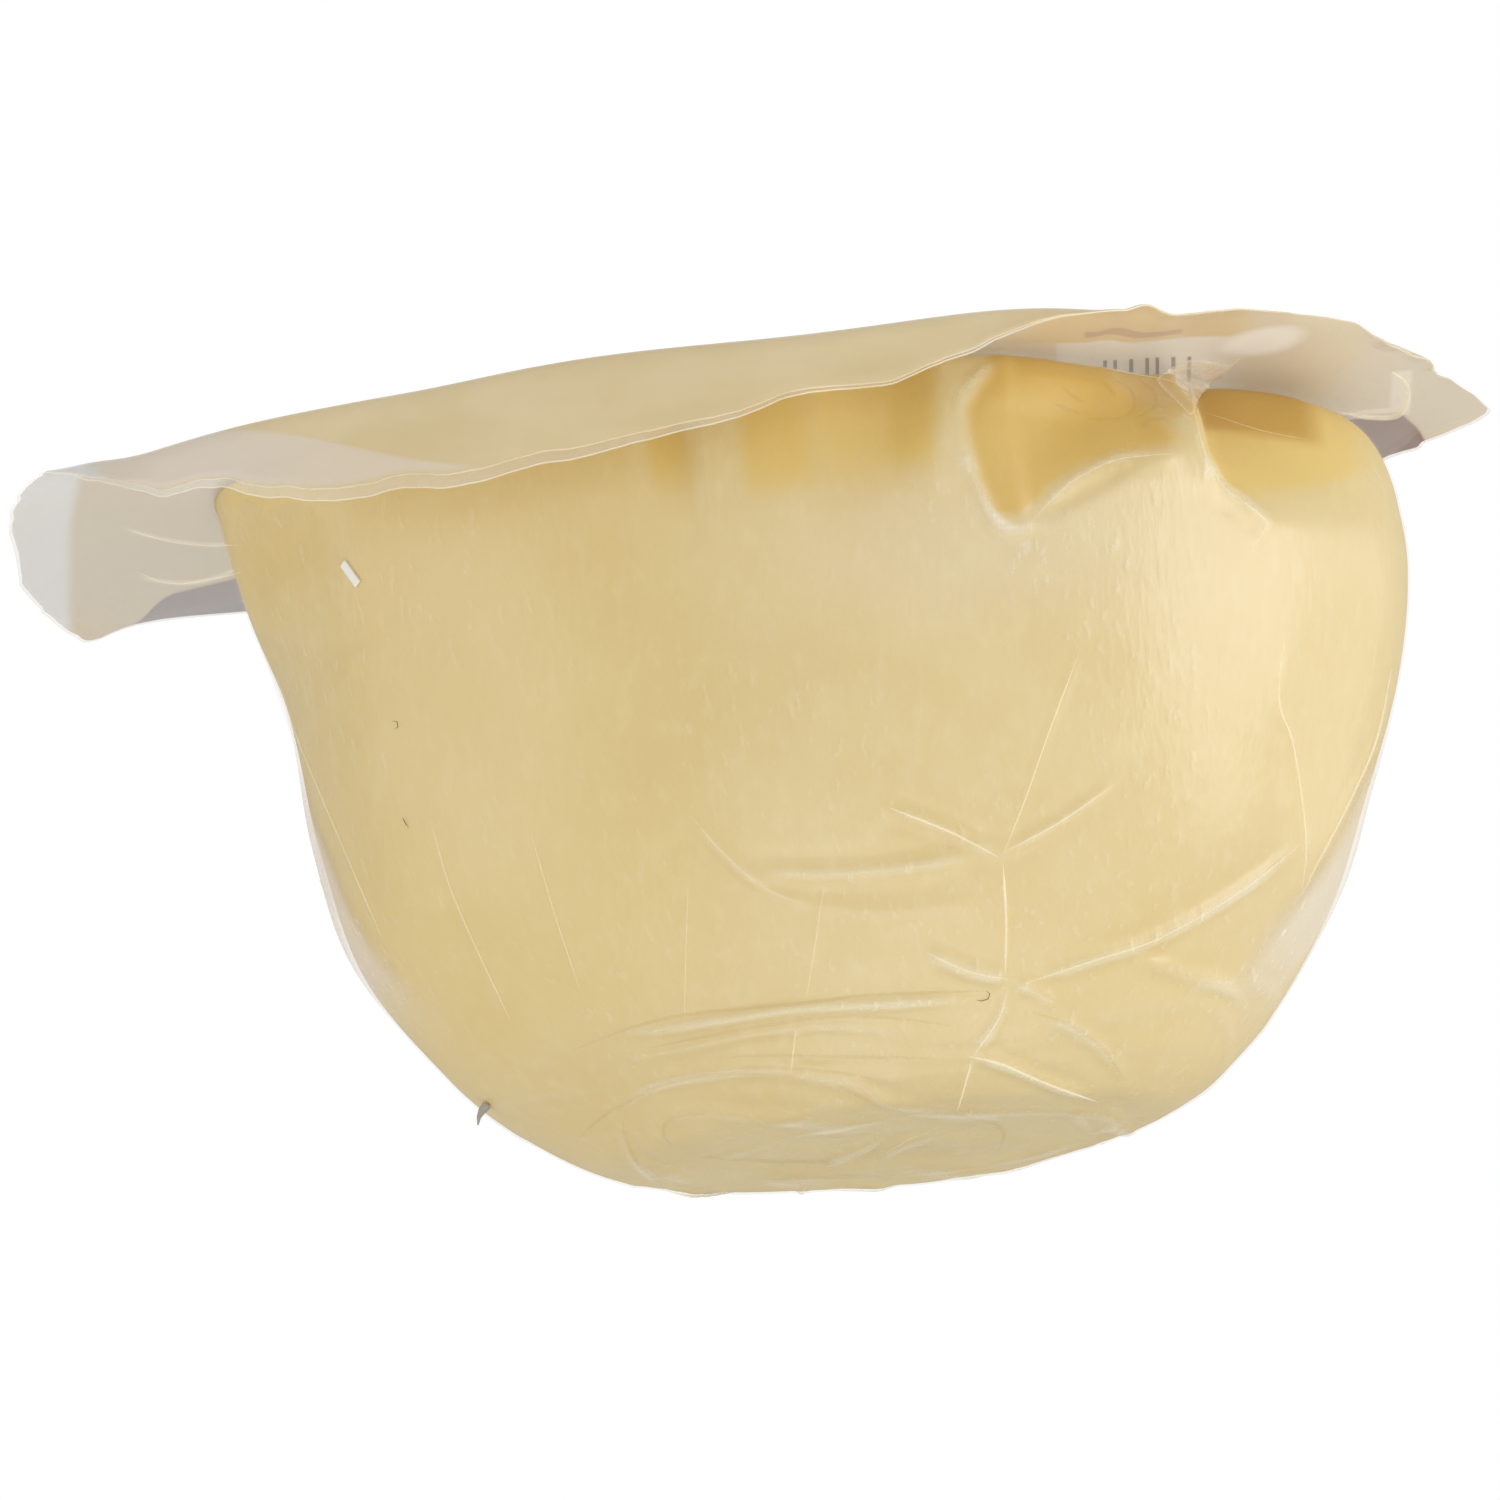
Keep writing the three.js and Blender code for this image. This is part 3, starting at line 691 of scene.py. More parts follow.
def camera_axes():
    """The camera's right, up and forward directions."""
    rise, roll = math.radians(ELEVATION), math.radians(ROLL)
    forward = np.array((0, math.cos(rise), -math.sin(rise)))
    level_up = np.array((0, math.sin(rise), math.cos(rise)))
    side = np.array((1.0, 0, 0))
    right = math.cos(roll) * side - math.sin(roll) * level_up
    up = math.sin(roll) * side + math.cos(roll) * level_up
    return right, up, forward


RIGHT, UP, FORWARD = camera_axes()
EYE = TARGET - DISTANCE * FORWARD


def photo_place(points):
    """Pixels of the photograph at which points of the pack show."""
    seen = points - EYE
    scale = DISTANCE / (seen @ FORWARD) / PIXEL
    half = PHOTO_SIDE / 2
    return np.stack((half + scale * (seen @ RIGHT), half - scale * (seen @ UP)), axis=-1)


def pixel_ray(pixel):
    """Unit direction from the eye through a pixel of the photograph."""
    half = PHOTO_SIDE / 2
    ray = FORWARD * DISTANCE + RIGHT * (pixel[0] - half) * PIXEL + UP * (half - pixel[1]) * PIXEL
    return ray / np.linalg.norm(ray)


def smooth_path(points):
    """A path through points, rounded at each, with a step of about CREASE_STEP."""
    p = np.array(points, float)
    p = np.vstack((2 * p[0] - p[1], p, 2 * p[-1] - p[-2]))
    path = []
    for a, b, c, d in zip(p, p[1:], p[2:], p[3:]):
        count = max(int(np.linalg.norm(c - b) / CREASE_STEP), 1)
        t = np.linspace(0, 1, count, endpoint=False)[:, None]
        path.append(b + 0.5 * t * (c - a + t * (2 * a - 5 * b + 4 * c - d + t * (3 * (b - c) + d - a))))
    return np.vstack(path + [p[-2:-1]])


def taper(count):
    """Fades in from each end of a path."""
    share = np.linspace(0, 1, count)
    return np.minimum(ease(share, *CREASE_TAPER), ease(1 - share, *CREASE_TAPER))


def crease_relief(pixels):
    """Height of the film's creases at pixels of the photograph, in millimetres."""
    height = np.zeros(len(pixels))
    for crease in CREASES.values():
        path = smooth_path(crease.points)
        reach = CREASE_REACH * crease.width
        near = np.all((pixels > path.min(0) - reach) & (pixels < path.max(0) + reach), axis=1)
        index = np.flatnonzero(near)
        if not len(index):
            continue
        groove = GROOVE_SHIFT * crease.width
        for shift, share in ((0, 1), (groove, -GROOVE_SHARE), (-groove, -GROOVE_SHARE)):
            gap = np.linalg.norm(pixels[index, None] - path[None] - (0, shift), axis=2)
            nearest = gap.argmin(axis=1)
            fall = np.exp(-(gap.min(axis=1) / crease.width) ** 2) * taper(len(path))[nearest]
            height[index] += RELIEF * share * crease.height * fall
    return height


def half_turned(points):
    """The points turned half round the cheese's axis."""
    return points * (-1, -1, 1) + (2 * AXIS_X, 0, 0)


def ring_relief(points):
    """Height of the slack film's rings round the foot."""
    draw = np.random.default_rng(RING_SEED)
    x, y, z = points.T
    angle = np.arctan2(y / DEPTH_RATIO, x - AXIS_X)
    radius = np.hypot(x - AXIS_X, y / DEPTH_RATIO)
    height = np.zeros(len(points))
    for _ in range(RING_COUNT):
        middle = draw.uniform(*RING_RADII)
        wander = draw.uniform(*RING_WANDERS)
        wander = wander * np.sin(draw.integers(*RING_WAVES) * angle + draw.uniform(0, 6))
        window = bump_round(angle, draw.uniform(0, 360), draw.uniform(*RING_SPANS))
        width = draw.uniform(*RING_WIDTHS)
        ridge = np.exp(-((radius - middle - wander) / width) ** 2)
        height = np.maximum(height, draw.uniform(*RING_HEIGHTS) * ridge * window)
    return height * (1 - ease(z, *RING_TOP)) * ease(radius, *RING_MIDDLE)


def film_relief(points, facing):
    """Height of all the formed film's creases. The back has the front's creases, turned half round."""
    shown = ease(facing @ (-FORWARD), *CREASE_SHOWN)
    hidden = ease((facing * (-1, -1, 1)) @ (-FORWARD), *CREASE_SHOWN)
    front = crease_relief(photo_place(points)) * shown
    back = crease_relief(photo_place(half_turned(points))) * hidden
    return front + back + ring_relief(points)


def foot_hollow(facing):
    """How far the foot is pressed in, so that its creases don't reach the ground."""
    return FOOT_HOLLOW * ease(-facing[:, 2], *FOOT_FACING)


class Wire:
    """A socket of a material's nodes. Sums on it add Math nodes."""

    def __init__(self, finish, socket):
        self.finish = finish
        self.socket = socket

    def math(self, operation, *values):
        inputs = dict(enumerate((self,) + values))
        return self.finish.node("ShaderNodeMath", {"operation": operation}, inputs)

    def __add__(self, other):
        return self.math("ADD", other)

    __radd__ = __add__

    def __mul__(self, other):
        return self.math("MULTIPLY", other)

    __rmul__ = __mul__

    def __sub__(self, other):
        return self.math("SUBTRACT", other)

    def __rsub__(self, other):
        return (self * -1) + other

    def __pow__(self, other):
        return self.math("POWER", other)

    def at_least(self, other):
        return self.math("MAXIMUM", other)

    def at_most(self, other):
        return self.math("MINIMUM", other)

    def ease(self, low, high):
        """0 up to low, 1 from high, and smooth between."""
        settings = {"interpolation_type": "SMOOTHSTEP"}
        first, last = (0.0, 1.0) if low < high else (1.0, 0.0)
        inputs = {0: self, 1: min(low, high), 2: max(low, high), 3: first, 4: last}
        return self.finish.node("ShaderNodeMapRange", settings, inputs)

    def inside(self, band):
        """1 within a band and 0 outside it."""
        rising = self.ease(band.low, band.low + band.soft_low)
        return rising * self.ease(band.high, band.high - band.soft_high)

    def blend(self, first, second):
        """A colour that goes from first to second as this value goes from 0 to 1."""
        inputs = {"Factor": self, 6: first, 7: second}
        return self.finish.node("ShaderNodeMix", {"data_type": "RGBA"}, inputs, 2)


class Finish:
    """The nodes of a material, or of the room's light, under construction."""

    def __init__(self, name, owners=bpy.data.materials):
        self.owner = owners.new(name)
        self.owner.use_nodes = True
        self.tree = self.owner.node_tree
        self.tree.nodes.clear()

    def node(self, kind, settings=None, inputs=None, output=0):
        """Adds a node: its settings first, then the value or link of each named or numbered socket."""
        made = self.tree.nodes.new(kind)
        for key, value in (settings or {}).items():
            setattr(made, key, value)
        for key, value in (inputs or {}).items():
            if isinstance(value, Wire):
                self.tree.links.new(value.socket, made.inputs[key])
            else:
                made.inputs[key].default_value = value
        return Wire(self, made.outputs[output]) if made.outputs else None

    def attribute(self, name):
        return self.node("ShaderNodeAttribute", {"attribute_name": name}, output="Fac")

    def places(self, stretch=(1, 1, 1)):
        """Places on the piece in millimetres, stretched along the axes."""
        here = self.node("ShaderNodeTexCoord", output="Object")
        scale = [s / MM for s in stretch]
        return self.node("ShaderNodeMapping", inputs={"Vector": here, "Scale": scale})

    def cloud(self, size, stretch=(1, 1, 1), detail=3.0, rough=0.5):
        """Noise from 0 to 1 with patches of about a size in millimetres."""
        inputs = {"Vector": self.places(stretch), "Scale": 1 / size, "Detail": detail, "Roughness": rough}
        return self.node("ShaderNodeTexNoise", inputs=inputs)

    def bump(self, height, distance, strength=1.0):
        inputs = {"Height": height, "Distance": distance * MM, "Strength": strength}
        return self.node("ShaderNodeBump", inputs=inputs)

    def body(self, colour, roughness, glow=0.0, **more):
        """A plain surface. The glow is the light that comes through from its far side."""
        inputs = {"Base Color": colour, "Roughness": roughness, **more}
        if glow:
            inputs.update({"Emission Color": colour, "Emission Strength": glow})
        return self.node("ShaderNodeBsdfPrincipled", inputs=inputs)

    def mixed(self, factor, first, second):
        return self.node("ShaderNodeMixShader", inputs={0: factor, 1: first, 2: second})

    def veiled(self, veil, body):
        """A surface that lets through what is behind it, as far as its veil allows."""
        return self.mixed(veil, self.node("ShaderNodeBsdfTransparent"), body)

    def front(self):
        return 1 - self.node("ShaderNodeNewGeometry", output="Backfacing")

    def facing(self):
        """0 where the surface faces the eye, 1 where it turns away."""
        return self.node("ShaderNodeLayerWeight", inputs={"Blend": 0.5}, output="Facing")

    def done(self, shader, output="ShaderNodeOutputMaterial"):
        self.node(output, inputs={"Surface": shader})
        return self.owner


def cheese_finish():
    finish = Finish("smoked_cheese")
    patches = finish.cloud(size=14, detail=2.0)
    curd = finish.cloud(size=1.5, stretch=(1, 1, 0.6), rough=0.6)
    gold, brown = finish.attribute("gold"), finish.attribute("brown")
    colour = patches.ease(*PATCHY).blend(paint("cheese"), paint("cheese_pale"))
    colour = (curd.ease(*CURD_SHOWN) * CURD_SHARE).blend(colour, paint("curd"))
    # Painted shade in the hollows: golden, then a deeper brown
    colour = gold.blend(colour, paint("gold"))
    colour = brown.blend(colour, paint("brown"))
    normal = finish.bump(curd, distance=0.12, strength=0.4)
    return finish.done(finish.body(colour, roughness=0.5, Normal=normal))


def film_gloss(finish, veil, colour, normal, roughness, glow, dull=0.0):
    """Clear film: a pale veil over what is behind it, and its own reflection on top where it isn't dull."""
    body = finish.body(colour, VEIL_ROUGHNESS, glow, Normal=normal)
    inputs = {"Color": (1, 1, 1, 1), "Roughness": roughness, "Normal": normal}
    shine = finish.node("ShaderNodeBsdfGlossy", inputs=inputs)
    mirror = (finish.facing() ** MIRROR_POWER * MIRROR_EDGE + MIRROR) * finish.front()
    return finish.mixed(mirror * (1 - dull), finish.veiled(veil, body), shine)


def formed_film_finish():
    finish = Finish("formed_film")
    crease, gap, flange = (finish.attribute(name) for name in ("crease", "gap", "flange"))
    inner, dull, painted_sheen = (finish.attribute(name) for name in ("inner", "dull", "painted_sheen"))
    grain = finish.cloud(size=0.7, stretch=(1, 1, 0.3), detail=2.0)
    cloudy = finish.cloud(size=18, detail=2.0)
    specks = grain.ease(*SPECKS_SHOWN) * cloudy.ease(*SPECKS_CLOUDY) * (1 - flange) * (1 - dull)
    raised, apart = crease.ease(*FULL_CREASE), gap.ease(0.0, FULL_GAP)
    veil = FILM_VEIL + GRAIN_VEIL * grain.ease(*GRAIN_SHOWN) + CLOUD_VEIL * cloudy + SPECK_VEIL * specks
    # The painted sheen of light whitens the veil, except in the hollows
    veil = veil + CREASE_VEIL * raised + GAP_VEIL * apart + FLANGE_VEIL * flange + painted_sheen * (1 - dull)
    veil = veil.at_most(1.0) * (1 - inner)
    normal = finish.bump(grain, distance=0.1, strength=0.5)
    colour = flange.blend(paint("film"), paint("flange"))
    colour = apart.blend(colour, paint("gap"))
    # Painted sheen: a paler colour where the light falls
    colour = painted_sheen.ease(0.0, FULL_SHEEN).blend(colour, paint("painted_sheen"))
    film = film_gloss(finish, veil, colour, normal, roughness=0.26, glow=FILM_GLOW, dull=dull)
    return finish.done(film)


def lid_film_finish():
    """The printed lid: fields of colour on its flat places. The face that lies on the cheese is painted
    paler to the right, painted light over the body's shade, and has a painted glint.
    """
    finish = Finish("lid_film")
    x, y, under = (finish.attribute(name) for name in ("flat_x", "flat_y", "under"))
    fibres = finish.cloud(size=5, stretch=(0.4, 1, 1))
    turn = math.radians(PRINT_TURN)
    across = math.cos(turn) * y - math.sin(turn) * x
    tail = (1 - under) * (x + TAIL_SLANT * y).ease(*TAIL_EDGE)
    bow = FIELD_BOW * (x - FIELD_MIDDLE) ** 2.0
    hook = FIELD_HOOK * (FIELD_HOOK_FROM - x).at_least(0.0) ** 2.0
    field = (y - FIELD_FRONT - bow - hook).ease(0.0, FIELD_SOFTNESS)
    field = field * (FIELD_END + FIELD_SLANT * y - x).ease(0.0, FIELD_SOFTNESS)
    dark = x.ease(*FIELD_WARMS).blend(paint("field_left"), paint("field_right"))
    first, second = ((count * x).math("SINE") for count in BAR_WAVES)
    bars = (first + second).ease(*BAR_EDGE) * x.inside(BARS_X) * across.inside(BARS_ACROSS)
    away_x, away_y = (
        (scale * (place - middle)) ** 2.0 for place, middle, scale in zip((x, y), GLINT_MIDDLE, GLINT_SCALE)
    )
    pleat = (x.inside(PLEAT_X) * y.inside(PLEAT_Y)).at_least(x.inside(TURNED_X) * y.inside(TURNED_Y))
    upper, lower = (
        (y - top + bend * (x - middle) ** 2.0).math("ABSOLUTE").ease(*FLAP_FOLD_WIDTH)
        for top, bend, middle in FLAP_FOLDS
    )
    folds = upper.at_least(lower) * x.inside(FLAP_FOLDS_X)
    rounding = MARGIN_BOW * (MARGIN_BOW_FROM - y).at_least(0.0) ** 2.0
    margin = (x + MARGIN_SLANT * y - rounding).ease(*MARGIN_EDGE)
    layers = (
        (fibres.ease(*PATCHY), paint("lid_pale")),
        # Painted light: the underside paler to the right, over the body's shade
        (under * x.ease(*PAINTED_LIGHT_RIGHT), paint("painted_light_right")),
        (under * x.ease(*UNDER_LEFT), paint("under_left")),
        (tail, paint("tail")),
        (field, under.blend(paint("field_top"), dark)),
        (under * x.inside(TAN_X) * across.ease(*TAN_EDGE), paint("tan")),
        (x.inside(PATCH_X) * across.inside(PATCH_ACROSS), paint("patch")),
        (bars, paint("bars")),
        (x.inside(STRIP_X) * across.inside(STRIP_ACROSS), paint("strip")),
        # A painted glint of reflected light, on the face that lies on the cheese
        (under * (away_x + away_y).ease(*GLINT_EDGE), paint("glint")),
        (PLEAT_SHARE * under * pleat, paint("pleat")),
        (FLAP_FOLD_SHARE * under * folds, paint("flap_fold")),
        (margin, paint("margin")),
    )
    colour = paint("lid")
    for share, tint in layers:
        colour = share.blend(colour, tint)
    veil = LID_VEIL + MARGIN_VEIL * margin + TAIL_VEIL * tail + FIELD_VEIL * field
    normal = finish.bump(fibres, distance=0.1, strength=0.3)
    return finish.done(film_gloss(finish, veil, colour, normal, roughness=0.25, glow=LID_GLOW))


def crease_finish():
    finish = Finish("pinched_film")
    veil = CREASE_CLEAREST + CREASE_CLOUD * finish.cloud(size=6, detail=2.0)
    body = finish.body(paint("crease"), roughness=0.3, glow=THREAD_GLOW)
    return finish.done(finish.veiled(veil, body))


def make_cheese():
    rows = DOME_ROWS + CAP_ROWS
    mesh, angle, row = closed_tube("scamorza_cheese", rows)
    base = dome_point(angle, row)
    facing = normals(dome_point, angle, row, high=rows - 0.02)
    gap = stand_off(angle, dome_height(row)) * (row < DOME_ROWS)
    relief = film_relief(base, facing)
    relief = np.minimum(relief, CHEESE_SHARE * relief) - foot_hollow(facing)
    points = base + facing * (relief - CLING - gap)[:, None]
    points[:, 2] = np.maximum(points[:, 2], CLING)
    points[row >= DOME_ROWS, 2] = base[row >= DOME_ROWS, 2] - CLING
    set_points(mesh, points)
    # The hollows' painted shade, golden and brown, on the front only
    gold, brown = hollow_shade(base[:, 0], base[:, 2]) * (np.sin(angle) < 0)
    set_attribute(mesh, "gold", gold)
    set_attribute(mesh, "brown", brown)
    return new_piece(mesh, cheese_finish(), "cheese", "scamorza")


def make_formed_film():
    flange_top = FLANGE_ROWS + LIP_ROWS
    turns = np.cumsum((DOME_ROWS, flange_top, RETURN_ROWS, INNER_ROWS))
    mesh, angle, row = closed_tube("formed_film", turns[-1])
    points = np.zeros((len(angle), 3))
    crease, gap, dull, painted_sheen = (np.zeros(len(angle)) for _ in range(4))

    def flange(these, share, lift):
        places = sheet_point(angle[these], share)
        up = -normals(lambda a, r: sheet_point(a, r)[0], angle[these], share, 1.0, 3.0)
        points[these] = places[0] + up * lift

    dome = row <= turns[0]
    base = dome_point(angle[dome], row[dome])
    facing = normals(dome_point, angle[dome], row[dome], high=DOME_ROWS)
    relief = film_relief(base, facing) * (1 - ease(row[dome], DOME_ROWS - RELIEF_END_ROWS, DOME_ROWS))
    points[dome] = base + facing * (relief - foot_hollow(facing))[:, None]
    points[dome, 2] = np.maximum(points[dome, 2], 0)
    crease[dome] = relief
    x, z = base[:, 0], base[:, 2]
    gap[dome] = stand_off(angle[dome], z)
    dull[dome] = hollow_shade(x, z)[0] * (np.sin(angle[dome]) < 0)
    # Painted sheen of light on the formed film, towards the right and the upper middle
    painted_sheen[dome] = sum(size * bump(x, *across) * bump(z, *upwards) for across, upwards, size in PAINTED_SHEENS)
    under = (row > turns[0]) & (row <= turns[1])
    past = row[under] - turns[0]
    share = 1 + np.minimum(past / FLANGE_ROWS, 1) + np.clip((past - FLANGE_ROWS) / LIP_ROWS, 0, 1)
    flange(under, share, FILM_LOW)
    back = (row > turns[1]) & (row <= turns[2])
    flange(back, 3 - 2 * (row[back] - turns[1]) / RETURN_ROWS, FILM_SEAM - SEAM_GAP)
    inner = row > turns[2]
    dome_row = DOME_ROWS * (1 - (row[inner] - turns[2]) / INNER_ROWS)
    inner_base = dome_point(angle[inner], dome_row)
    inner_facing = normals(dome_point, angle[inner], dome_row, high=DOME_ROWS)
    points[inner] = inner_base - inner_facing * (FILM_INSIDE + foot_hollow(inner_facing))[:, None]
    set_points(mesh, points)
    sharpen(mesh, row == turns[1])
    fields = {"crease": crease, "gap": gap, "dull": dull, "painted_sheen": painted_sheen}
    fields.update({"flange": under | back, "inner": inner})
    for name, values in fields.items():
        set_attribute(mesh, name, values)
    return new_piece(mesh, formed_film_finish(), "film", "scamorza", "sealed_film")


def make_lid_film():
    half = LID_ROWS + FLANGE_ROWS + LIP_ROWS
    mesh, angle, row = closed_tube("lid_film", 2 * half)
    step = np.minimum(row, 2 * half - row)
    share = np.minimum(step / LID_ROWS, 1) + np.clip((step - LID_ROWS) / FLANGE_ROWS, 0, 1)
    share = share + np.clip((step - LID_ROWS - FLANGE_ROWS) / LIP_ROWS, 0, 1)
    places, flat = sheet_point(angle, share, LID_CUT)
    up = -normals(lambda a, r: sheet_point(a, r, LID_CUT)[0], angle, share, 0.02, 3.0)
    lift = np.where(row <= half, FILM_SEAM + SEAM_GAP, FILM_HIGH)
    set_points(mesh, places + up * lift[:, None])
    sharpen(mesh, row == half)
    under = row <= half
    for name, values in (("flat_x", flat[:, 0]), ("flat_y", flat[:, 1]), ("under", under)):
        set_attribute(mesh, name, values)
    lid = new_piece(mesh, lid_film_finish(), "film", "sealed_film")
    lid.visible_shadow = False
    return lid


def film_place(film, pixel, turn=None):
    """Where the ray through a pixel meets the film, from the camera or from half a turn round."""
    shift = np.array((AXIS_X, 0, 0))
    turn = np.eye(3) if turn is None else turn
    eye = (turn @ (EYE - shift) + shift) * MM
    hit, place, facing, _ = film.ray_cast(Vector(eye), Vector(turn @ pixel_ray(pixel)))
    return (place, facing) if hit else None


def new_threads(name, radius):
    """A curve that gathers threads, each a share of the radius thick."""
    curve = bpy.data.curves.new(name, "CURVE")
    curve.dimensions = "3D"
    curve.bevel_depth = radius * MM
    curve.bevel_resolution = 1
    curve.use_fill_caps = True
    return curve


def thread_mesh(curve):
    sketch = placed(curve.name + "_lines", curve)
    bpy.context.view_layer.update()
    mesh = bpy.data.meshes.new_from_object(sketch.evaluated_get(bpy.context.evaluated_depsgraph_get()))
    mesh.name = curve.name
    smooth(mesh)
    bpy.data.objects.remove(sketch)
    return mesh


def add_thread(curve, places, radii, closed=False):
    spline = curve.splines.new("POLY")
    spline.points.add(len(places) - 1)
    spline.use_cyclic_u = closed
    for point, place, radius in zip(spline.points, places, radii):
        point.co = (*place, 1)
        point.radius = max(radius, CREASE_LEAST)


def make_creases(film):
    """Pinched lines along the creases and folds, and beads along the cut edges, as thin threads."""
    curve = new_threads("film_creases", CREASE_RADIUS)
    bpy.context.view_layer.update()
    front, back = np.eye(3), np.diag((-1.0, -1.0, 1.0))
    lines = [(crease, turn) for turn in (front, back) for crease in CREASES.values() if crease.line]
    lines += [(fold, front) for fold in FOLD_LINES.values()]
    for crease, turn in lines:
        path = smooth_path(crease.points)
        hits = [film_place(film, pixel, turn) for pixel in path]
        radii = crease.line * taper(len(path))
        lift = CREASE_LIFT * CREASE_RADIUS * MM
        met = [(hit[0] + hit[1] * (lift * radius), radius) for hit, radius in zip(hits, radii) if hit]
        if len(met) > 2:
            add_thread(curve, *zip(*met))
    angle = crowded(np.linspace(-np.pi, np.pi, COLUMNS, endpoint=False))
    bead = EDGE_BEAD + (EDGE_BEAD_FRONT - EDGE_BEAD) * bump_round(angle, RAGGED_ANGLE, RAGGED_SPAN)
    for cut in (0.0, LID_CUT):
        edge = sheet_point(angle, np.full(COLUMNS, 3.0), cut)[0]
        add_thread(curve, edge * MM, bead, closed=True)
    threads = new_piece(thread_mesh(curve), crease_finish(), "film")
    threads.visible_shadow = False


def make_fine_lines(film, name, lines, radius, strength):
    """Fine lines that lie on the film, as tapering threads of a colour: hairs, and painted shade along
    wrinkles.
    """
    curve = new_threads(name, radius)
    for points in lines:
        places = [film_place(film, pixel)[0] for pixel in smooth_path(points)]
        add_thread(curve, places, taper(len(places)))
    finish = Finish(name)
    material = finish.done(finish.veiled(strength, finish.body(paint(name), roughness=0.6)))
    piece = new_piece(thread_mesh(curve), material, "film")
    piece.visible_shadow = False


def make_tag(film):
    """The small pointed tag, hanging from the film."""
    start = film_place(film, TAG_START)[0]
    steps = [Vector((RIGHT * x - UP * y) * PIXEL * MM) for x, y in TAG_STEPS]
    curve = new_threads("film_tag", 1.0)
    add_thread(curve, [start + step for step in steps], TAG_RADII)
    finish = Finish("film_tag")
    new_piece(thread_mesh(curve), finish.done(finish.body(paint("tag"), roughness=0.3)), "film")


def web_finish():
    finish = Finish("film_web")
    cloudy = finish.cloud(size=1.6, detail=2.0)
    veil = WEB_VEIL + WEB_CLOUD * cloudy.ease(*WEB_CLOUDY)
    normal = finish.bump(cloudy, distance=0.1, strength=0.3)
    return finish.done(film_gloss(finish, veil, paint("web"), normal, roughness=0.3, glow=LID_GLOW))


def make_web(film, lid):
    """A little tent of film, from the ridge beside the pocket out to the lid and to the hollows' rims."""
    def place(pixel):
        hits = [hit[0] for hit in (film_place(film, pixel), film_place(lid, pixel)) if hit]
        eye = Vector(EYE * MM)
        near = min(hits, key=lambda hit: (hit - eye).length)
        return near - WEB_LIFT * MM * Vector(pixel_ray(pixel))

    middle = place(WEB_MIDDLE)
    border = [place(pixel) for pixel in smooth_path(WEB_BORDER + WEB_BORDER[:1])[:-1]]
    bm = bmesh.new()
    bmesh.ops.create_circle(bm, cap_ends=True, cap_tris=True, segments=len(border), radius=1.0)
    bmesh.ops.subdivide_edges(
        bm, edges=[e for e in bm.edges if not e.is_boundary], cuts=WEB_STEPS, use_grid_fill=True
    )
    for v in bm.verts:
        share = min(v.co.length, 1.0)
        turn = math.atan2(v.co.y, v.co.x) / (2 * math.pi) * len(border)
        first = math.floor(turn + 1e-6)
        edge = border[first % len(border)].lerp(border[(first + 1) % len(border)], turn - first)
        v.co = middle.lerp(edge, share)
    bmesh.ops.solidify(bm, geom=bm.faces[:], thickness=WEB_THICKNESS * MM)
    bmesh.ops.recalc_face_normals(bm, faces=bm.faces)
    mesh = made_mesh(bm, "film_web")
    smooth(mesh)
    web = new_piece(mesh, web_finish(), "film")
    web.visible_shadow = False


def make_fleck(film):
    """The white sliver, lying on the film."""
    (start, facing), (end, _) = (film_place(film, pixel) for pixel in FLECK_ENDS)
    lengthways = (end - start).normalized()
    across = facing.cross(lengthways).normalized()
    turn = Matrix((lengthways, across, lengthways.cross(across))).transposed().to_4x4()
    size = Matrix.Diagonal(((end - start).length, FLECK_WIDTH * MM, FLECK_THICKNESS * MM, 1))
    bm = bmesh.new()
    bmesh.ops.create_cube(bm, size=1.0, matrix=Matrix.Translation((start + end) / 2) @ turn @ size)
    bmesh.ops.bevel(
        bm, geom=bm.edges[:], offset=FLECK_BEVEL * MM, segments=2, profile=0.5, affect="EDGES", material=-1
    )
    finish = Finish("white_paper")
    material = finish.done(finish.body(paint("fleck"), roughness=0.6))
    new_piece(made_mesh(bm, "white_fleck"), material, "film")


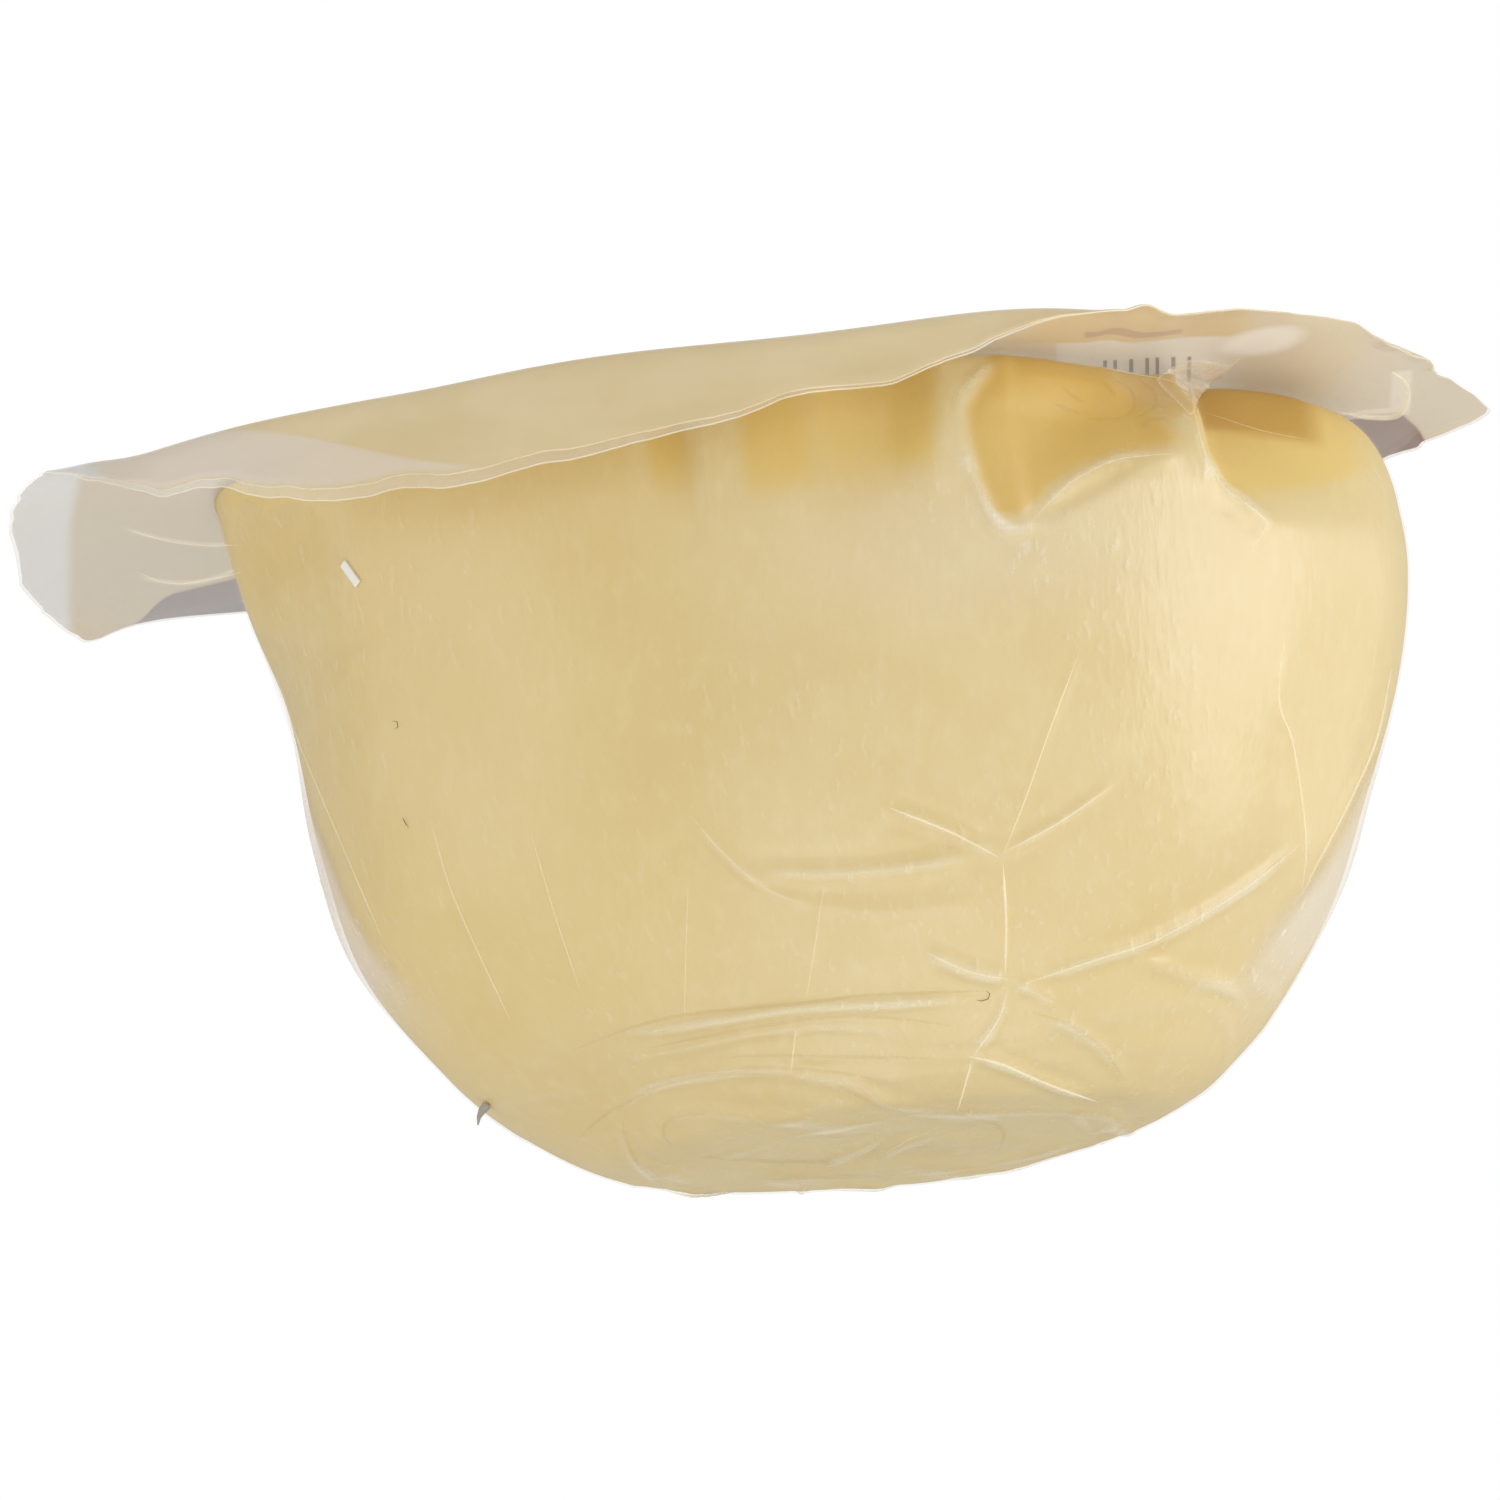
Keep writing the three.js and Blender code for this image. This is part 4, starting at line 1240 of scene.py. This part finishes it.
def make_floor():
    """A pale floor that only shows from above, so that the view from below stays open."""
    bm = bmesh.new()
    bmesh.ops.create_grid(bm, x_segments=1, y_segments=1, size=FLOOR_HALF)
    floor = placed("floor", made_mesh(bm, "floor"))
    finish = Finish("pale_floor")
    body = finish.body(paint("floor"), roughness=0.8)
    floor.data.materials.append(finish.done(finish.veiled(finish.front(), body)))
    floor.visible_diffuse = False
    floor.visible_glossy = False
    floor.visible_shadow = False


def make_camera():
    data = bpy.data.cameras.new("camera")
    data.sensor_width = SENSOR
    data.lens = SENSOR * DISTANCE / (PHOTO_SIDE * PIXEL)
    data.clip_start, data.clip_end = CLIP_START, CLIP_END
    camera = placed("camera", data)
    turn = Matrix((RIGHT, UP, -FORWARD)).transposed().to_4x4()
    camera.matrix_world = Matrix.Translation(Vector(EYE * MM)) @ turn
    bpy.context.scene.camera = camera


def make_light(name, place, size, power):
    data = bpy.data.lights.new(name, "AREA")
    data.shape = "DISK"
    data.size = size
    data.energy = power
    light = placed(name, data)
    aim = Vector(TARGET * MM) - Vector(place)
    light.matrix_world = Matrix.Translation(place) @ aim.to_track_quat("-Z", "Y").to_matrix().to_4x4()


def make_surroundings():
    """White to the camera, and an even soft light for everything else."""
    room = Finish("white_room", bpy.data.worlds)
    seen = room.node("ShaderNodeLightPath", output="Is Camera Ray")
    lit, backdrop = (
        room.node("ShaderNodeBackground", inputs={"Color": (1, 1, 1, 1), "Strength": strength})
        for strength in (ROOM, BACKDROP)
    )
    bpy.context.scene.world = room.done(room.mixed(seen, lit, backdrop), "ShaderNodeOutputWorld")
    for name, light in LIGHTS.items():
        make_light(name, *light)


def main():
    scene = bpy.context.scene
    scene.view_settings.view_transform = "Standard"
    scene.cycles.transparent_max_bounces = 14
    scene.cycles.max_bounces = 4
    scene.cycles.diffuse_bounces = 3
    scene.cycles.glossy_bounces = 2
    make_camera()
    make_cheese()
    film = make_formed_film()
    lid = make_lid_film()
    make_creases(film)
    make_web(film, lid)
    make_fleck(film)
    make_tag(film)
    make_fine_lines(film, "hairs", HAIRS, HAIR_RADIUS, HAIR_STRENGTH)
    # Painted shade along the sides of the film's wrinkles
    make_fine_lines(film, "wrinkle_shade", WRINKLE_SHADE_LINES, WRINKLE_RADIUS, WRINKLE_STRENGTH)
    make_floor()
    make_surroundings()


main()
